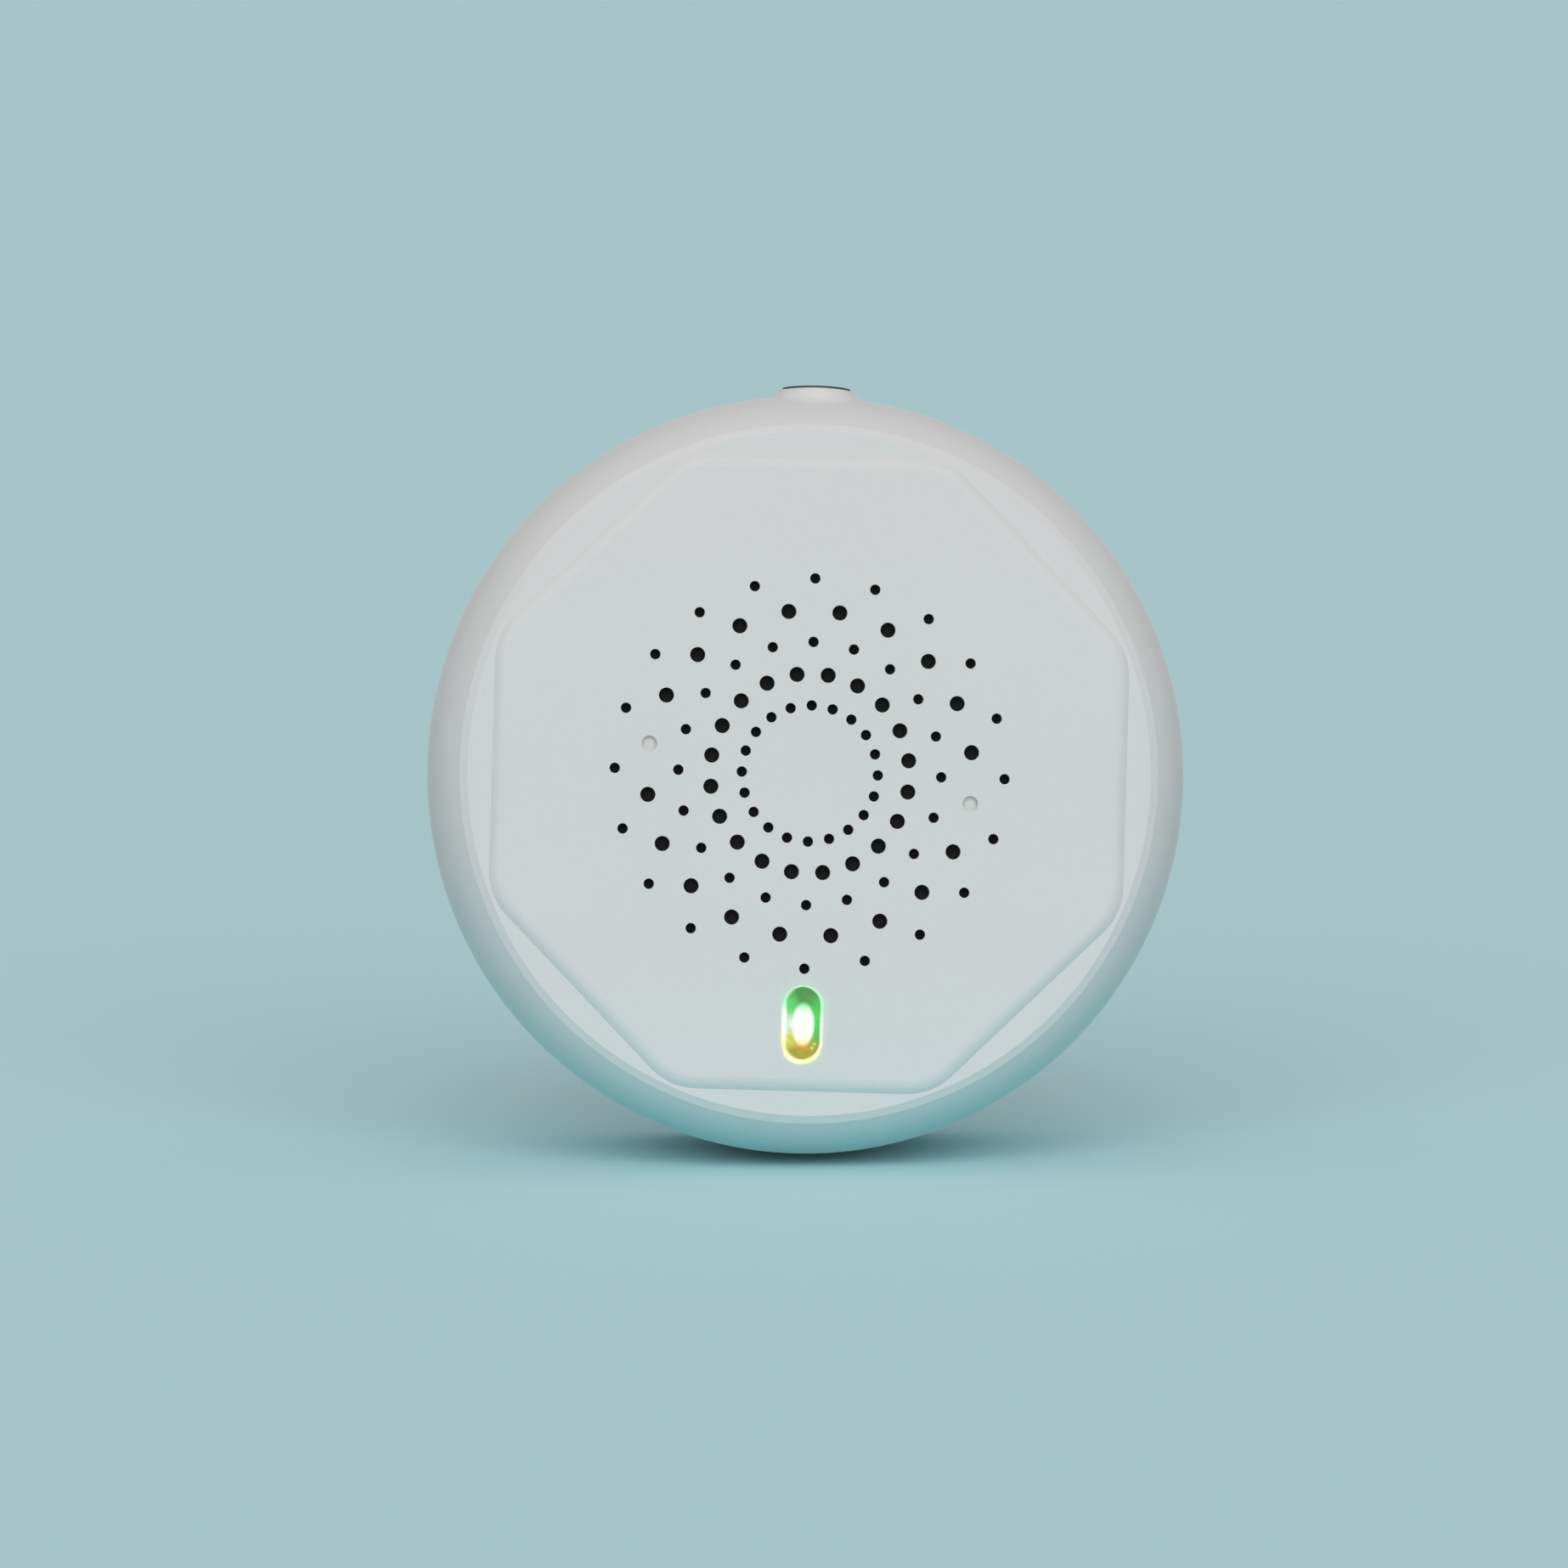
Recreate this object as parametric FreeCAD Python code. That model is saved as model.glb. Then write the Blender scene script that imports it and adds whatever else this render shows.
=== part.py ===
import FreeCAD, Part
import math
import os

from FreeCAD import Vector

# Round wall-mounted gas detector, in millimetres.
# Every piece is drawn lying on its back: x runs right, y up the wall and z out from the wall.
# The origin is the middle of the bracket's back face. Export turns z to -Y and y to +Z.

# Outer form of the two shells
BODY_RADIUS = 42.0
BODY_DEPTH = 36.0
WALL = 2.0
SHOULDER_WIDTH = 3.45
SHOULDER_DEPTH = 7.5
SIDE_DRAFT = 1.1
RIM_BEVEL = 0.85
RIM_DROP = 0.4
PARTING_LEVEL = 16.0
PARTING_BEVEL = 0.25
FOOT_INSET = 2.2
FOOT_ROUND = 4.0
WALL_STANDOFF = 0.6
LAP_HEIGHT = 2.0
LAP_THICK = 0.9
LAP_CLEARANCE = 0.1

# Raised octagonal plate
PLATE_MARGIN = 2.7
PLATE_STEP = 0.5
PLATE_CORNER = 7.0
PLATE_EDGE = 2.2
PLATE_SIDES = 8

# Hole pattern: rings of equally spaced holes, every second ring larger and turned half a step
RING_HOLES = 20
RING_COUNT = 5
FIRST_RING_RADIUS = 7.5
PATTERN_GAP = 2.0
SMALL_HOLE_RADIUS = 0.58
LARGE_HOLE_RADIUS = 0.84
DIMPLE_RING = 3
DIMPLE_STEPS = (5, 15)
DIMPLE_RADIUS = 0.83
DIMPLE_DEPTH = 0.5

# Indicator slot, its lens and the lamps behind it
SLOT_WIDTH = 4.0
SLOT_LENGTH = 8.0
SLOT_EDGE_GAP = 3.5
SLOT_LIP = 0.4
LENS_CLEARANCE = 0.1
LENS_RECESS = 0.4
LENS_FLANGE = 0.45
LENS_FLANGE_THICK = 1.0
LENS_CHAMFER = 0.2
HOLDER_WALL = 1.0
LAMP_WIDTH = 2.0
LAMP_LENGTH = 2.2
LAMP_HEIGHT = 0.8
LAMP_DOME_RADIUS = 0.8
LAMP_DOME_HEIGHT = 0.5
LAMP_SPACING = 2.5
LAMP_GAP = 0.3

# Neck at the top and the power jack behind it
NECK_RADIUS = 4.2
NECK_RISE = 0.8
NECK_SETBACK = 9.0
NECK_FLARE = 1.6
NECK_COLLAR = 1.5
NECK_WALL = 0.75
BUSH_CLEARANCE = 0.1
BUSH_BORE_RADIUS = 2.1
BUSH_DEPTH = 2.6
BUSH_FLANGE_THICK = 0.25
BUSH_FLANGE_INSET = 0.45
JACK_WIDTH = 6.6
JACK_LENGTH = 9.5
JACK_AXIS_HEIGHT = 4.0
JACK_TOP_HEIGHT = 3.0
JACK_SETBACK = 4.8
JACK_NOSE_RADIUS = 3.0
JACK_NOSE_GAP = 0.2
JACK_BORE_RADIUS = 1.9
JACK_BORE_DEPTH = 9.0
JACK_PIN_RADIUS = 0.65
JACK_PIN_TIP = 0.3
JACK_PIN_RECESS = 1.0
JACK_ROOT_RADIUS = 1.2
JACK_ROOT_LENGTH = 2.0
LUG_WIDTH = 2.0
LUG_THICK = 0.4
LUG_PLACES = ((0.0, 1.2), (0.0, 4.0), (2.0, 2.6))

# Main board and its fixings
BOARD_MARGIN = 6.0
BOARD_THICK = 1.6
BOARD_CLEARANCE = 0.5
BOARD_SCREW_INSET = 4.0
BOARD_SCREW_ANGLES = (12.0, 168.0, 248.0, 292.0)
BOARD_SCREW_RADIUS = 1.3
BOARD_SCREW_LENGTH = 5.5
BOARD_SCREW_HEAD_RADIUS = 2.3
BOARD_SCREW_HEAD_HEIGHT = 1.6
BOARD_BOSS_RADIUS = 2.6
HOLE_PLAY = 0.15
PIN_PLAY = 0.12
PIN_STICK_OUT = 1.0

# Screws that close the housing on the cover
CASE_SCREW_INSET = 11.5
CASE_SCREW_COUNT = 4
CASE_SCREW_FIRST_ANGLE = 45.0
CASE_SCREW_RADIUS = 1.5
CASE_SCREW_LENGTH = 16.0
CASE_SCREW_HEAD_RADIUS = 2.8
CASE_SCREW_HEAD_HEIGHT = 2.0
CASE_SCREW_SEAT = 9.0
CASE_POST_RADIUS = 3.2
CASE_POST_WALL = 1.2
CASE_POST_RISE = 1.0
CASE_POST_GAP = 0.1
SCREW_TIP_ROOM = 1.0
HEAD_ROOM = 0.3
RECESS_WIDTH = 0.6
RECESS_SHARE = 0.6
RECESS_DEPTH = 0.9

# Wall bracket and its twist lock
BRACKET_THICK = 2.4
BRACKET_MARGIN = 1.8
BRACKET_PLAY = 0.2
BRACKET_SIDE_PLAY = 0.5
BRACKET_EDGE = 0.5
BRACKET_SCREW_SPACING = 46.0
BRACKET_SCREW_RADIUS = 2.2
BRACKET_SINK_RADIUS = 4.2
HOOK_INSET = 14.0
HOOK_COUNT = 3
HOOK_FIRST_ANGLE = 90.0
HOOK_WIDTH = 3.4
HOOK_STEM_ANGLE = 12.0
HOOK_CATCH_ANGLE = 10.0
HOOK_PLAY_ANGLE = 2.0
HOOK_HEAD_THICK = 1.5
HOOK_CLEARANCE = 0.3

# Insect screen, which lies in a pocket behind the hole pattern
SCREEN_THICK = 0.3
SCREEN_MARGIN = 1.2
SCREEN_PLAY = 0.1
POCKET_DEPTH = 0.8

# Gas sensor, a metal can on the front of the board
SENSOR_SCREEN_GAP = 1.95
SENSOR_Y = 4.0
SENSOR_FLANGE_RADIUS = 4.6
SENSOR_FLANGE_THICK = 1.0
SENSOR_STEP_RADIUS = 3.7
SENSOR_STEP_HEIGHT = 0.6
SENSOR_CAP_HEIGHT = 6.4
SENSOR_CAP_WALL = 0.3
SENSOR_MOUTH_RADIUS = 2.6
SENSOR_GAUZE_THICK = 0.25
SENSOR_PIN_RADIUS = 0.25
SENSOR_PIN_OFFSET = 1.5
SENSOR_PIN_RISE = 0.9
SENSOR_CHIP_SIZE = 3.8
SENSOR_CHIP_THICK = 0.5
SLEEVE_PLAY = 0.2
SLEEVE_WALL = 1.7

# Sounder on the front of the board
SOUNDER_X = -9.5
SOUNDER_RADIO_GAP = 0.65
SOUNDER_RADIUS = 11.0
SOUNDER_HEIGHT = 7.2
SOUNDER_WALL = 0.8
SOUNDER_ROOF = 1.0
SOUNDER_STEP = 1.0
SOUNDER_MOUTH_RADIUS = 2.0
SOUNDER_BASE_THICK = 1.2
SOUNDER_DISC_THICK = 0.3
SOUNDER_DISC_LEVEL = 3.4
SOUNDER_DISC_PLAY = 0.1
SOUNDER_PIN_RADIUS = 0.35
SOUNDER_PIN_OFFSET = 3.8

# Radio module on the back of the board
RADIO_X = 0.0
RADIO_GAP = 1.7
RADIO_WIDTH = 16.0
RADIO_LENGTH = 24.0
RADIO_THICK = 0.8
SHIELD_WIDTH = 14.0
SHIELD_LENGTH = 16.0
SHIELD_HEIGHT = 2.2
SHIELD_WALL = 0.3
SHIELD_DROP = 3.0

# Controller chip
CHIP_X = -15.0
CHIP_Y = -10.0
CHIP_SIZE = 7.0
CHIP_THICK = 1.4
CHIP_STAND = 0.1
LEADS_PER_SIDE = 8
LEAD_SPACING = 0.8
LEAD_WIDTH = 0.36
LEAD_THICK = 0.15
LEAD_REACH = 1.0
LEAD_FOOT = 0.5

# Other parts on the back of the board
REGULATOR_POST_GAP = 0.117
REGULATOR_POST_DROP = 2.117
REGULATOR_WIDTH = 6.5
REGULATOR_LENGTH = 3.5
REGULATOR_THICK = 1.6
REGULATOR_TAB_WIDTH = 3.0
REGULATOR_TAB_LENGTH = 1.8
REGULATOR_TAB_THICK = 0.3
INDUCTOR_X = 22.0
INDUCTOR_Y = -2.0
INDUCTOR_SIZE = 7.0
INDUCTOR_HEIGHT = 3.6
INDUCTOR_CORNER = 1.6
CAPACITOR_POST_GAP = 0.6
CAPACITOR_RADIUS = 5.0
CAPACITOR_HEIGHT = 10.2
CAPACITOR_GROOVE_LEVEL = 2.0
CAPACITOR_GROOVE_WIDTH = 0.8
CAPACITOR_GROOVE_DEPTH = 0.5
CAPACITOR_EDGE = 0.5
CAPACITOR_BASE_MARGIN = 0.15
CAPACITOR_BASE_THICK = 1.0
CAPACITOR_BASE_CORNER = 2.0
CRYSTAL_GAP = 1.5
CRYSTAL_WIDTH = 3.2
CRYSTAL_LENGTH = 5.0
CRYSTAL_THICK = 0.9
CRYSTAL_CORNER = 0.6

# Levels and radii that follow from the sizes above
LEDGE_LEVEL = BODY_DEPTH - PLATE_STEP
RIM_LEVEL = LEDGE_LEVEL - RIM_DROP
WIDEST_LEVEL = RIM_LEVEL - SHOULDER_DEPTH
CEILING_LEVEL = LEDGE_LEVEL - WALL
PLATE_INSIDE = BODY_DEPTH - WALL
RIM_RADIUS = BODY_RADIUS - SHOULDER_WIDTH
LEDGE_RADIUS = RIM_RADIUS - RIM_BEVEL
PLATE_FLATS = 2 * (LEDGE_RADIUS - PLATE_MARGIN)
PLATE_EDGE_RUN = math.sqrt(PLATE_EDGE ** 2 - (PLATE_EDGE - PLATE_STEP) ** 2)
SHOULDER_CURVE = (SHOULDER_WIDTH ** 2 + SHOULDER_DEPTH ** 2) / (2 * SHOULDER_WIDTH)
SHOULDER_CENTRE = BODY_RADIUS - SHOULDER_CURVE
FLOOR_BACK = BRACKET_THICK + BRACKET_PLAY
FLOOR_FRONT = FLOOR_BACK + WALL
FOOT_RADIUS = BODY_RADIUS - FOOT_INSET
SLOT_Y = SLOT_EDGE_GAP + SLOT_LENGTH / 2 - PLATE_FLATS / 2
PATTERN_RADIUS = -SLOT_Y - SLOT_LENGTH / 2 - PATTERN_GAP
RING_SPACING = (PATTERN_RADIUS - FIRST_RING_RADIUS) / (RING_COUNT - 1)
SCREEN_RADIUS = PATTERN_RADIUS + SCREEN_MARGIN
SCREEN_SEAT = PLATE_INSIDE + POCKET_DEPTH
SCREEN_BACK = SCREEN_SEAT - SCREEN_THICK
SLEEVE_RADIUS = SENSOR_FLANGE_RADIUS + SLEEVE_PLAY + SLEEVE_WALL
SENSOR_NEAREST = RADIO_X + RADIO_WIDTH / 2 + SENSOR_PIN_OFFSET + SENSOR_PIN_RADIUS
SENSOR_FARTHEST = SCREEN_RADIUS - SLEEVE_RADIUS - SENSOR_SCREEN_GAP
SENSOR_X = (SENSOR_NEAREST + SENSOR_FARTHEST) / 2
NECK_LEVEL = BODY_DEPTH - NECK_SETBACK
NECK_END = BODY_RADIUS + NECK_RISE
NECK_BORE_RADIUS = NECK_RADIUS - NECK_WALL
BOARD_FRONT = NECK_LEVEL - JACK_AXIS_HEIGHT
BOARD_BACK = BOARD_FRONT - BOARD_THICK
BOARD_RADIUS = BODY_RADIUS - WALL - BOARD_MARGIN
BOARD_SCREW_CIRCLE = BOARD_RADIUS - BOARD_SCREW_INSET
CASE_SCREW_CIRCLE = BODY_RADIUS - CASE_SCREW_INSET
BRACKET_RADIUS = FOOT_RADIUS - FOOT_ROUND - BRACKET_MARGIN
HOOK_CIRCLE = BRACKET_RADIUS - HOOK_INSET
RADIO_TOP = BODY_RADIUS - JACK_SETBACK - JACK_LENGTH - RADIO_GAP
RADIO_Y = RADIO_TOP - RADIO_LENGTH / 2
SOUNDER_Y = RADIO_TOP - RADIO_LENGTH - SOUNDER_RADIO_GAP - SOUNDER_PIN_RADIUS
CASE_POST_OFFSET = CASE_SCREW_CIRCLE * math.sin(math.radians(CASE_SCREW_FIRST_ANGLE))
CAPACITOR_X = CASE_POST_OFFSET - CASE_POST_RADIUS - CAPACITOR_POST_GAP - CAPACITOR_RADIUS
CAPACITOR_Y = -CAPACITOR_X
REGULATOR_SPAN = REGULATOR_LENGTH + REGULATOR_TAB_LENGTH - REGULATOR_TAB_THICK
REGULATOR_X = CASE_POST_OFFSET - CASE_POST_RADIUS - REGULATOR_POST_GAP - REGULATOR_WIDTH / 2
REGULATOR_Y = CASE_POST_OFFSET - CASE_POST_RADIUS - REGULATOR_POST_DROP - REGULATOR_SPAN + REGULATOR_LENGTH / 2
CRYSTAL_X = CHIP_X - CHIP_SIZE / 2 - LEAD_REACH - CRYSTAL_GAP - CRYSTAL_WIDTH / 2
POST_MEETING = PARTING_LEVEL + CASE_POST_RISE
LENS_BACK = PLATE_INSIDE - LENS_FLANGE_THICK
SENSOR_CAP_RADIUS = SENSOR_STEP_RADIUS + SENSOR_CAP_WALL
CASE_POST_OUTER = CASE_SCREW_HEAD_RADIUS + HEAD_ROOM + CASE_POST_WALL
BEYOND = 5.0

# Closeness used to find edges
TOUCH = 1e-6
NEAR = 1e-3
EDGE_SAMPLES = 9


# General shapes

def cylinder(radius, bottom, top, x=0.0, y=0.0):
    return Part.makeCylinder(radius, top - bottom, Vector(x, y, bottom))


def tube(outer, inner, bottom, top, x=0.0, y=0.0):
    return cylinder(outer, bottom, top, x, y).cut(cylinder(inner, bottom, top, x, y))


def cylinder_up(radius, start, end, x, level):
    """Cylinder that runs up the wall, along y."""
    return Part.makeCylinder(radius, end - start, Vector(x, start, level), Vector(0, 1, 0))


def block(width, length, bottom, top, x=0.0, y=0.0):
    return Part.makeBox(width, length, top - bottom, Vector(x - width / 2, y - length / 2, bottom))


def rounded_block(width, length, corner, bottom, top, x=0.0, y=0.0):
    """Block with its four upright edges rounded."""
    solid = block(width, length, bottom, top, x, y)
    return solid.makeFillet(corner, upright_edges(solid))


def upright_edges(solid):
    return [edge for edge in solid.Edges if edge.BoundBox.ZLength > edge.BoundBox.DiagonalLength - NEAR]


def edges_at(solid, level):
    """Edges that lie flat at one level."""
    flat = [edge for edge in solid.Edges if edge.BoundBox.ZLength < TOUCH]
    return [edge for edge in flat if abs(edge.BoundBox.ZMin - level) < TOUCH]


def obround(width, length, bottom, top, x=0.0, y=0.0):
    """Bar with round ends, standing along y."""
    radius = width / 2
    upper = y + (length - width) / 2
    lower = y - (length - width) / 2
    corners = [Vector(x + radius, lower, bottom), Vector(x + radius, upper, bottom),
               Vector(x - radius, upper, bottom), Vector(x - radius, lower, bottom)]
    crown = Vector(x, upper + radius, bottom)
    foot = Vector(x, lower - radius, bottom)
    curves = [Part.LineSegment(corners[0], corners[1]), Part.Arc(corners[1], crown, corners[2]),
              Part.LineSegment(corners[2], corners[3]), Part.Arc(corners[3], foot, corners[0])]
    face = Part.Face(Part.Wire([curve.toShape() for curve in curves]))
    return face.extrude(Vector(0, 0, top - bottom))


def polygon(flats, bottom, top, corner):
    """Prism over a regular polygon, given across its flats, with rounded corners."""
    half_turn = math.pi / PLATE_SIDES
    reach = flats / 2 / math.cos(half_turn)
    angles = [half_turn * (2 * side + 1) for side in range(PLATE_SIDES)]
    points = [Vector(reach * math.cos(angle), reach * math.sin(angle), bottom) for angle in angles]
    prism = Part.Face(Part.makePolygon(points + points[:1])).extrude(Vector(0, 0, top - bottom))
    return prism.makeFillet(corner, upright_edges(prism))


def ring_sector(inner, outer, bottom, top, start_angle, span):
    """Piece of a ring between two angles, in degrees from x."""
    height = top - bottom
    foot = Vector(0, 0, bottom)
    up = Vector(0, 0, 1)
    sector = Part.makeCylinder(outer, height, foot, up, span)
    sector = sector.cut(cylinder(inner, bottom, top))
    sector.rotate(Vector(0, 0, 0), up, start_angle)
    return sector


def at(radius, level):
    """Point of a turned outline: distance from the axis, and level."""
    return Vector(radius, 0, level)


def straight_lines(points):
    return [Part.LineSegment(start, end) for start, end in zip(points, points[1:])]


def turned(curves):
    """Solid made by turning a closed outline about z."""
    face = Part.Face(Part.Wire([curve.toShape() for curve in curves]))
    return face.revolve(Vector(0, 0, 0), Vector(0, 0, 1), 360)


def polar(radius, degrees):
    angle = math.radians(degrees)
    return radius * math.cos(angle), radius * math.sin(angle)


def joined(solids):
    whole = solids[0].fuse(solids[1:])
    return whole.removeSplitter()


def without(solid, tools):
    return solid.cut(Part.makeCompound(tools))


# Places shared by mating pieces

def case_screw_places():
    step = 360.0 / CASE_SCREW_COUNT
    angles = [CASE_SCREW_FIRST_ANGLE + step * number for number in range(CASE_SCREW_COUNT)]
    return [polar(CASE_SCREW_CIRCLE, angle) for angle in angles]


def board_screw_places():
    return [polar(BOARD_SCREW_CIRCLE, angle) for angle in BOARD_SCREW_ANGLES]


def bracket_screw_places():
    return [(side * BRACKET_SCREW_SPACING / 2, 0.0) for side in (-1, 1)]


def sensor_pin_places():
    signs = [(-1, -1), (-1, 1), (1, -1), (1, 1)]
    return [(SENSOR_X + sx * SENSOR_PIN_OFFSET, SENSOR_Y + sy * SENSOR_PIN_OFFSET) for sx, sy in signs]


def sounder_pin_places():
    return [(SOUNDER_X + side * SOUNDER_PIN_OFFSET, SOUNDER_Y) for side in (-1, 1)]


def lug_places():
    rear = BODY_RADIUS - JACK_SETBACK - JACK_LENGTH
    return [(x, rear + y) for x, y in LUG_PLACES]


def ring_place(ring, step):
    """Centre of one hole; holes run clockwise from the top and odd rings start half a step on."""
    turn = 360.0 / RING_HOLES
    angle = 90.0 - turn * (step + (ring % 2) / 2)
    return polar(FIRST_RING_RADIUS + ring * RING_SPACING, angle)


def is_dimple(ring, step):
    return ring == DIMPLE_RING and step in DIMPLE_STEPS


# Front cover

def side_point(inset, angle):
    """Point on the round shoulder, or on a wall drawn inside it, at an angle above its widest level."""
    radius = SHOULDER_CURVE - inset
    return at(SHOULDER_CENTRE + radius * math.cos(angle), WIDEST_LEVEL + radius * math.sin(angle))


def side_arc(inset, top_level):
    """Curve of the cover's side, from its drafted wall up to a level near the front."""
    start = -math.radians(SIDE_DRAFT)
    end = math.asin((top_level - WIDEST_LEVEL) / (SHOULDER_CURVE - inset))
    return [side_point(inset, angle) for angle in (start, (start + end) / 2, end)]


def parting_radius(inset=0.0):
    """Radius of the side where the two shells meet, or of a wall drawn inside it."""
    lowest = side_point(inset, -math.radians(SIDE_DRAFT))
    return lowest.x - (lowest.z - PARTING_LEVEL) * math.tan(math.radians(SIDE_DRAFT))


def cover_body():
    """Outside of the cover as one solid: drafted side, curved shoulder, bevelled rim and flat ledge."""
    arc = side_arc(0.0, RIM_LEVEL)
    lines = straight_lines([at(0, LEDGE_LEVEL), at(0, PARTING_LEVEL),
                            at(parting_radius() - PARTING_BEVEL, PARTING_LEVEL),
                            at(parting_radius(), PARTING_LEVEL + PARTING_BEVEL), arc[0]])
    bevel = straight_lines([arc[2], at(LEDGE_RADIUS, LEDGE_LEVEL), at(0, LEDGE_LEVEL)])
    return turned(lines + [Part.Arc(*arc)] + bevel)


def cover_cavity():
    """Inside of the cover, which leaves the neck's collar standing."""
    arc = side_arc(WALL, CEILING_LEVEL)
    lines = straight_lines([at(0, CEILING_LEVEL), at(0, PARTING_LEVEL),
                            at(parting_radius(WALL), PARTING_LEVEL), arc[0]])
    whole = turned(lines + [Part.Arc(*arc)] + straight_lines([arc[2], at(0, CEILING_LEVEL)]))
    return whole.cut(neck())


def indicator_slot(bottom):
    return obround(SLOT_WIDTH, SLOT_LENGTH, bottom, BODY_DEPTH + BEYOND, 0.0, SLOT_Y)


def raised_plate():
    """Octagonal plate whose edge curves down and meets the ledge on a slope."""
    sunk = PLATE_EDGE - PLATE_EDGE_RUN
    plate = polygon(PLATE_FLATS + 2 * sunk, LEDGE_LEVEL - PLATE_EDGE, BODY_DEPTH, PLATE_CORNER + sunk)
    return plate.makeFillet(PLATE_EDGE, edges_at(plate, BODY_DEPTH))


def with_slot(shell):
    """Cut the indicator slot through the plate and round its lip."""
    shell = shell.cut(indicator_slot(PLATE_INSIDE - WALL))
    lip = [edge for edge in edges_at(shell, BODY_DEPTH)
           if abs(edge.BoundBox.XMin) < SLOT_WIDTH and abs(edge.BoundBox.XMax) < SLOT_WIDTH]
    return shell.makeFillet(SLOT_LIP, lip)


def neck():
    """Round boss at the top, its end curved like the side of the body."""
    boss = cylinder_up(NECK_RADIUS, BODY_RADIUS - WALL - NECK_COLLAR, NECK_END + BEYOND, 0.0, NECK_LEVEL)
    return boss.common(cylinder(NECK_END, WALL, BODY_DEPTH))


def neck_foot_edges(solid):
    """Edges where the neck meets the side: they lie on the neck's wall, inside its end."""
    found = []
    for edge in solid.Edges:
        points = edge.discretize(EDGE_SAMPLES)
        on_wall = all(abs(math.hypot(p.x, p.z - NECK_LEVEL) - NECK_RADIUS) < NEAR for p in points)
        inside = all(math.hypot(p.x, p.y) < NECK_END - NECK_RISE / 4 for p in points)
        upper = all(p.y > BODY_RADIUS - WALL - SHOULDER_WIDTH for p in points)
        if on_wall and inside and upper:
            found.append(edge)
    return found


def gas_holes():
    """Through holes of the pattern, with the two blind dimples."""
    tools = []
    for ring in range(RING_COUNT):
        radius = LARGE_HOLE_RADIUS if ring % 2 else SMALL_HOLE_RADIUS
        for step in range(RING_HOLES):
            x, y = ring_place(ring, step)
            if is_dimple(ring, step):
                tools.append(cylinder(DIMPLE_RADIUS, BODY_DEPTH - DIMPLE_DEPTH, BODY_DEPTH + BEYOND, x, y))
            else:
                tools.append(cylinder(radius, PLATE_INSIDE - BEYOND, BODY_DEPTH + BEYOND, x, y))
    return tools


def cover_posts():
    posts = [cylinder(CASE_POST_RADIUS, POST_MEETING, PLATE_INSIDE, x, y) for x, y in case_screw_places()]
    bosses = [cylinder(BOARD_BOSS_RADIUS, BOARD_FRONT, PLATE_INSIDE, x, y) for x, y in board_screw_places()]
    return posts + bosses


def cover_pilots():
    """Screw holes in the cover's posts and bosses."""
    case_top = CASE_SCREW_SEAT + CASE_SCREW_LENGTH + SCREW_TIP_ROOM
    board_top = BOARD_BACK + BOARD_SCREW_LENGTH + SCREW_TIP_ROOM
    deep = [cylinder(CASE_SCREW_RADIUS, PARTING_LEVEL, case_top, x, y) for x, y in case_screw_places()]
    short = [cylinder(BOARD_SCREW_RADIUS, BOARD_BACK, board_top, x, y) for x, y in board_screw_places()]
    return deep + short


def front_cover():
    shell = joined([cover_body(), neck()])
    shell = shell.makeFillet(NECK_FLARE, neck_foot_edges(shell))
    shell = with_slot(joined([shell, raised_plate()]))
    pocket = polygon(PLATE_FLATS - 2 * WALL, CEILING_LEVEL - WALL, PLATE_INSIDE, PLATE_CORNER - WALL)
    rebate_radius = parting_radius(WALL) + LAP_THICK + LAP_CLEARANCE
    rebate = cylinder(rebate_radius, PARTING_LEVEL, PARTING_LEVEL + LAP_HEIGHT + LAP_CLEARANCE)
    screen_pocket = cylinder(SCREEN_RADIUS + SCREEN_PLAY, CEILING_LEVEL, SCREEN_SEAT)
    shell = without(shell, [cover_cavity(), pocket, rebate, screen_pocket])
    shell = joined([shell] + cover_posts())
    bore = cylinder_up(NECK_BORE_RADIUS, BODY_RADIUS - WALL - NECK_COLLAR - BEYOND, NECK_END + BEYOND,
                       0.0, NECK_LEVEL)
    return without(shell, [bore] + gas_holes() + cover_pilots())


# Rear housing

def housing_side_radius(level):
    share = (level - WALL_STANDOFF) / (PARTING_LEVEL - WALL_STANDOFF)
    return FOOT_RADIUS + (parting_radius() - FOOT_RADIUS) * share


def housing_body():
    outline = straight_lines([at(0, WALL_STANDOFF), at(FOOT_RADIUS, WALL_STANDOFF),
                              at(parting_radius(), PARTING_LEVEL - PARTING_BEVEL),
                              at(parting_radius() - PARTING_BEVEL, PARTING_LEVEL),
                              at(0, PARTING_LEVEL), at(0, WALL_STANDOFF)])
    body = turned(outline)
    return body.makeFillet(FOOT_ROUND, edges_at(body, WALL_STANDOFF))


def housing_cavity():
    inner_foot = housing_side_radius(FLOOR_FRONT) - WALL
    outline = straight_lines([at(0, FLOOR_FRONT), at(inner_foot, FLOOR_FRONT),
                              at(parting_radius(WALL), PARTING_LEVEL), at(0, PARTING_LEVEL),
                              at(0, FLOOR_FRONT)])
    return turned(outline)


def hook_slots():
    """Arc slots that the bracket's hooks pass through and turn under."""
    span = HOOK_STEM_ANGLE + HOOK_CATCH_ANGLE + 2 * HOOK_PLAY_ANGLE
    inner = HOOK_CIRCLE - HOOK_WIDTH / 2 - HOOK_CLEARANCE
    outer = HOOK_CIRCLE + HOOK_WIDTH / 2 + HOOK_CLEARANCE
    slots = []
    for number in range(HOOK_COUNT):
        end = hook_angle(number) + HOOK_STEM_ANGLE + HOOK_PLAY_ANGLE
        slots.append(ring_sector(inner, outer, WALL_STANDOFF, FLOOR_FRONT + HOOK_CLEARANCE, end - span, span))
    return slots


def hook_angle(number):
    return HOOK_FIRST_ANGLE + 360.0 / HOOK_COUNT * number


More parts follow.
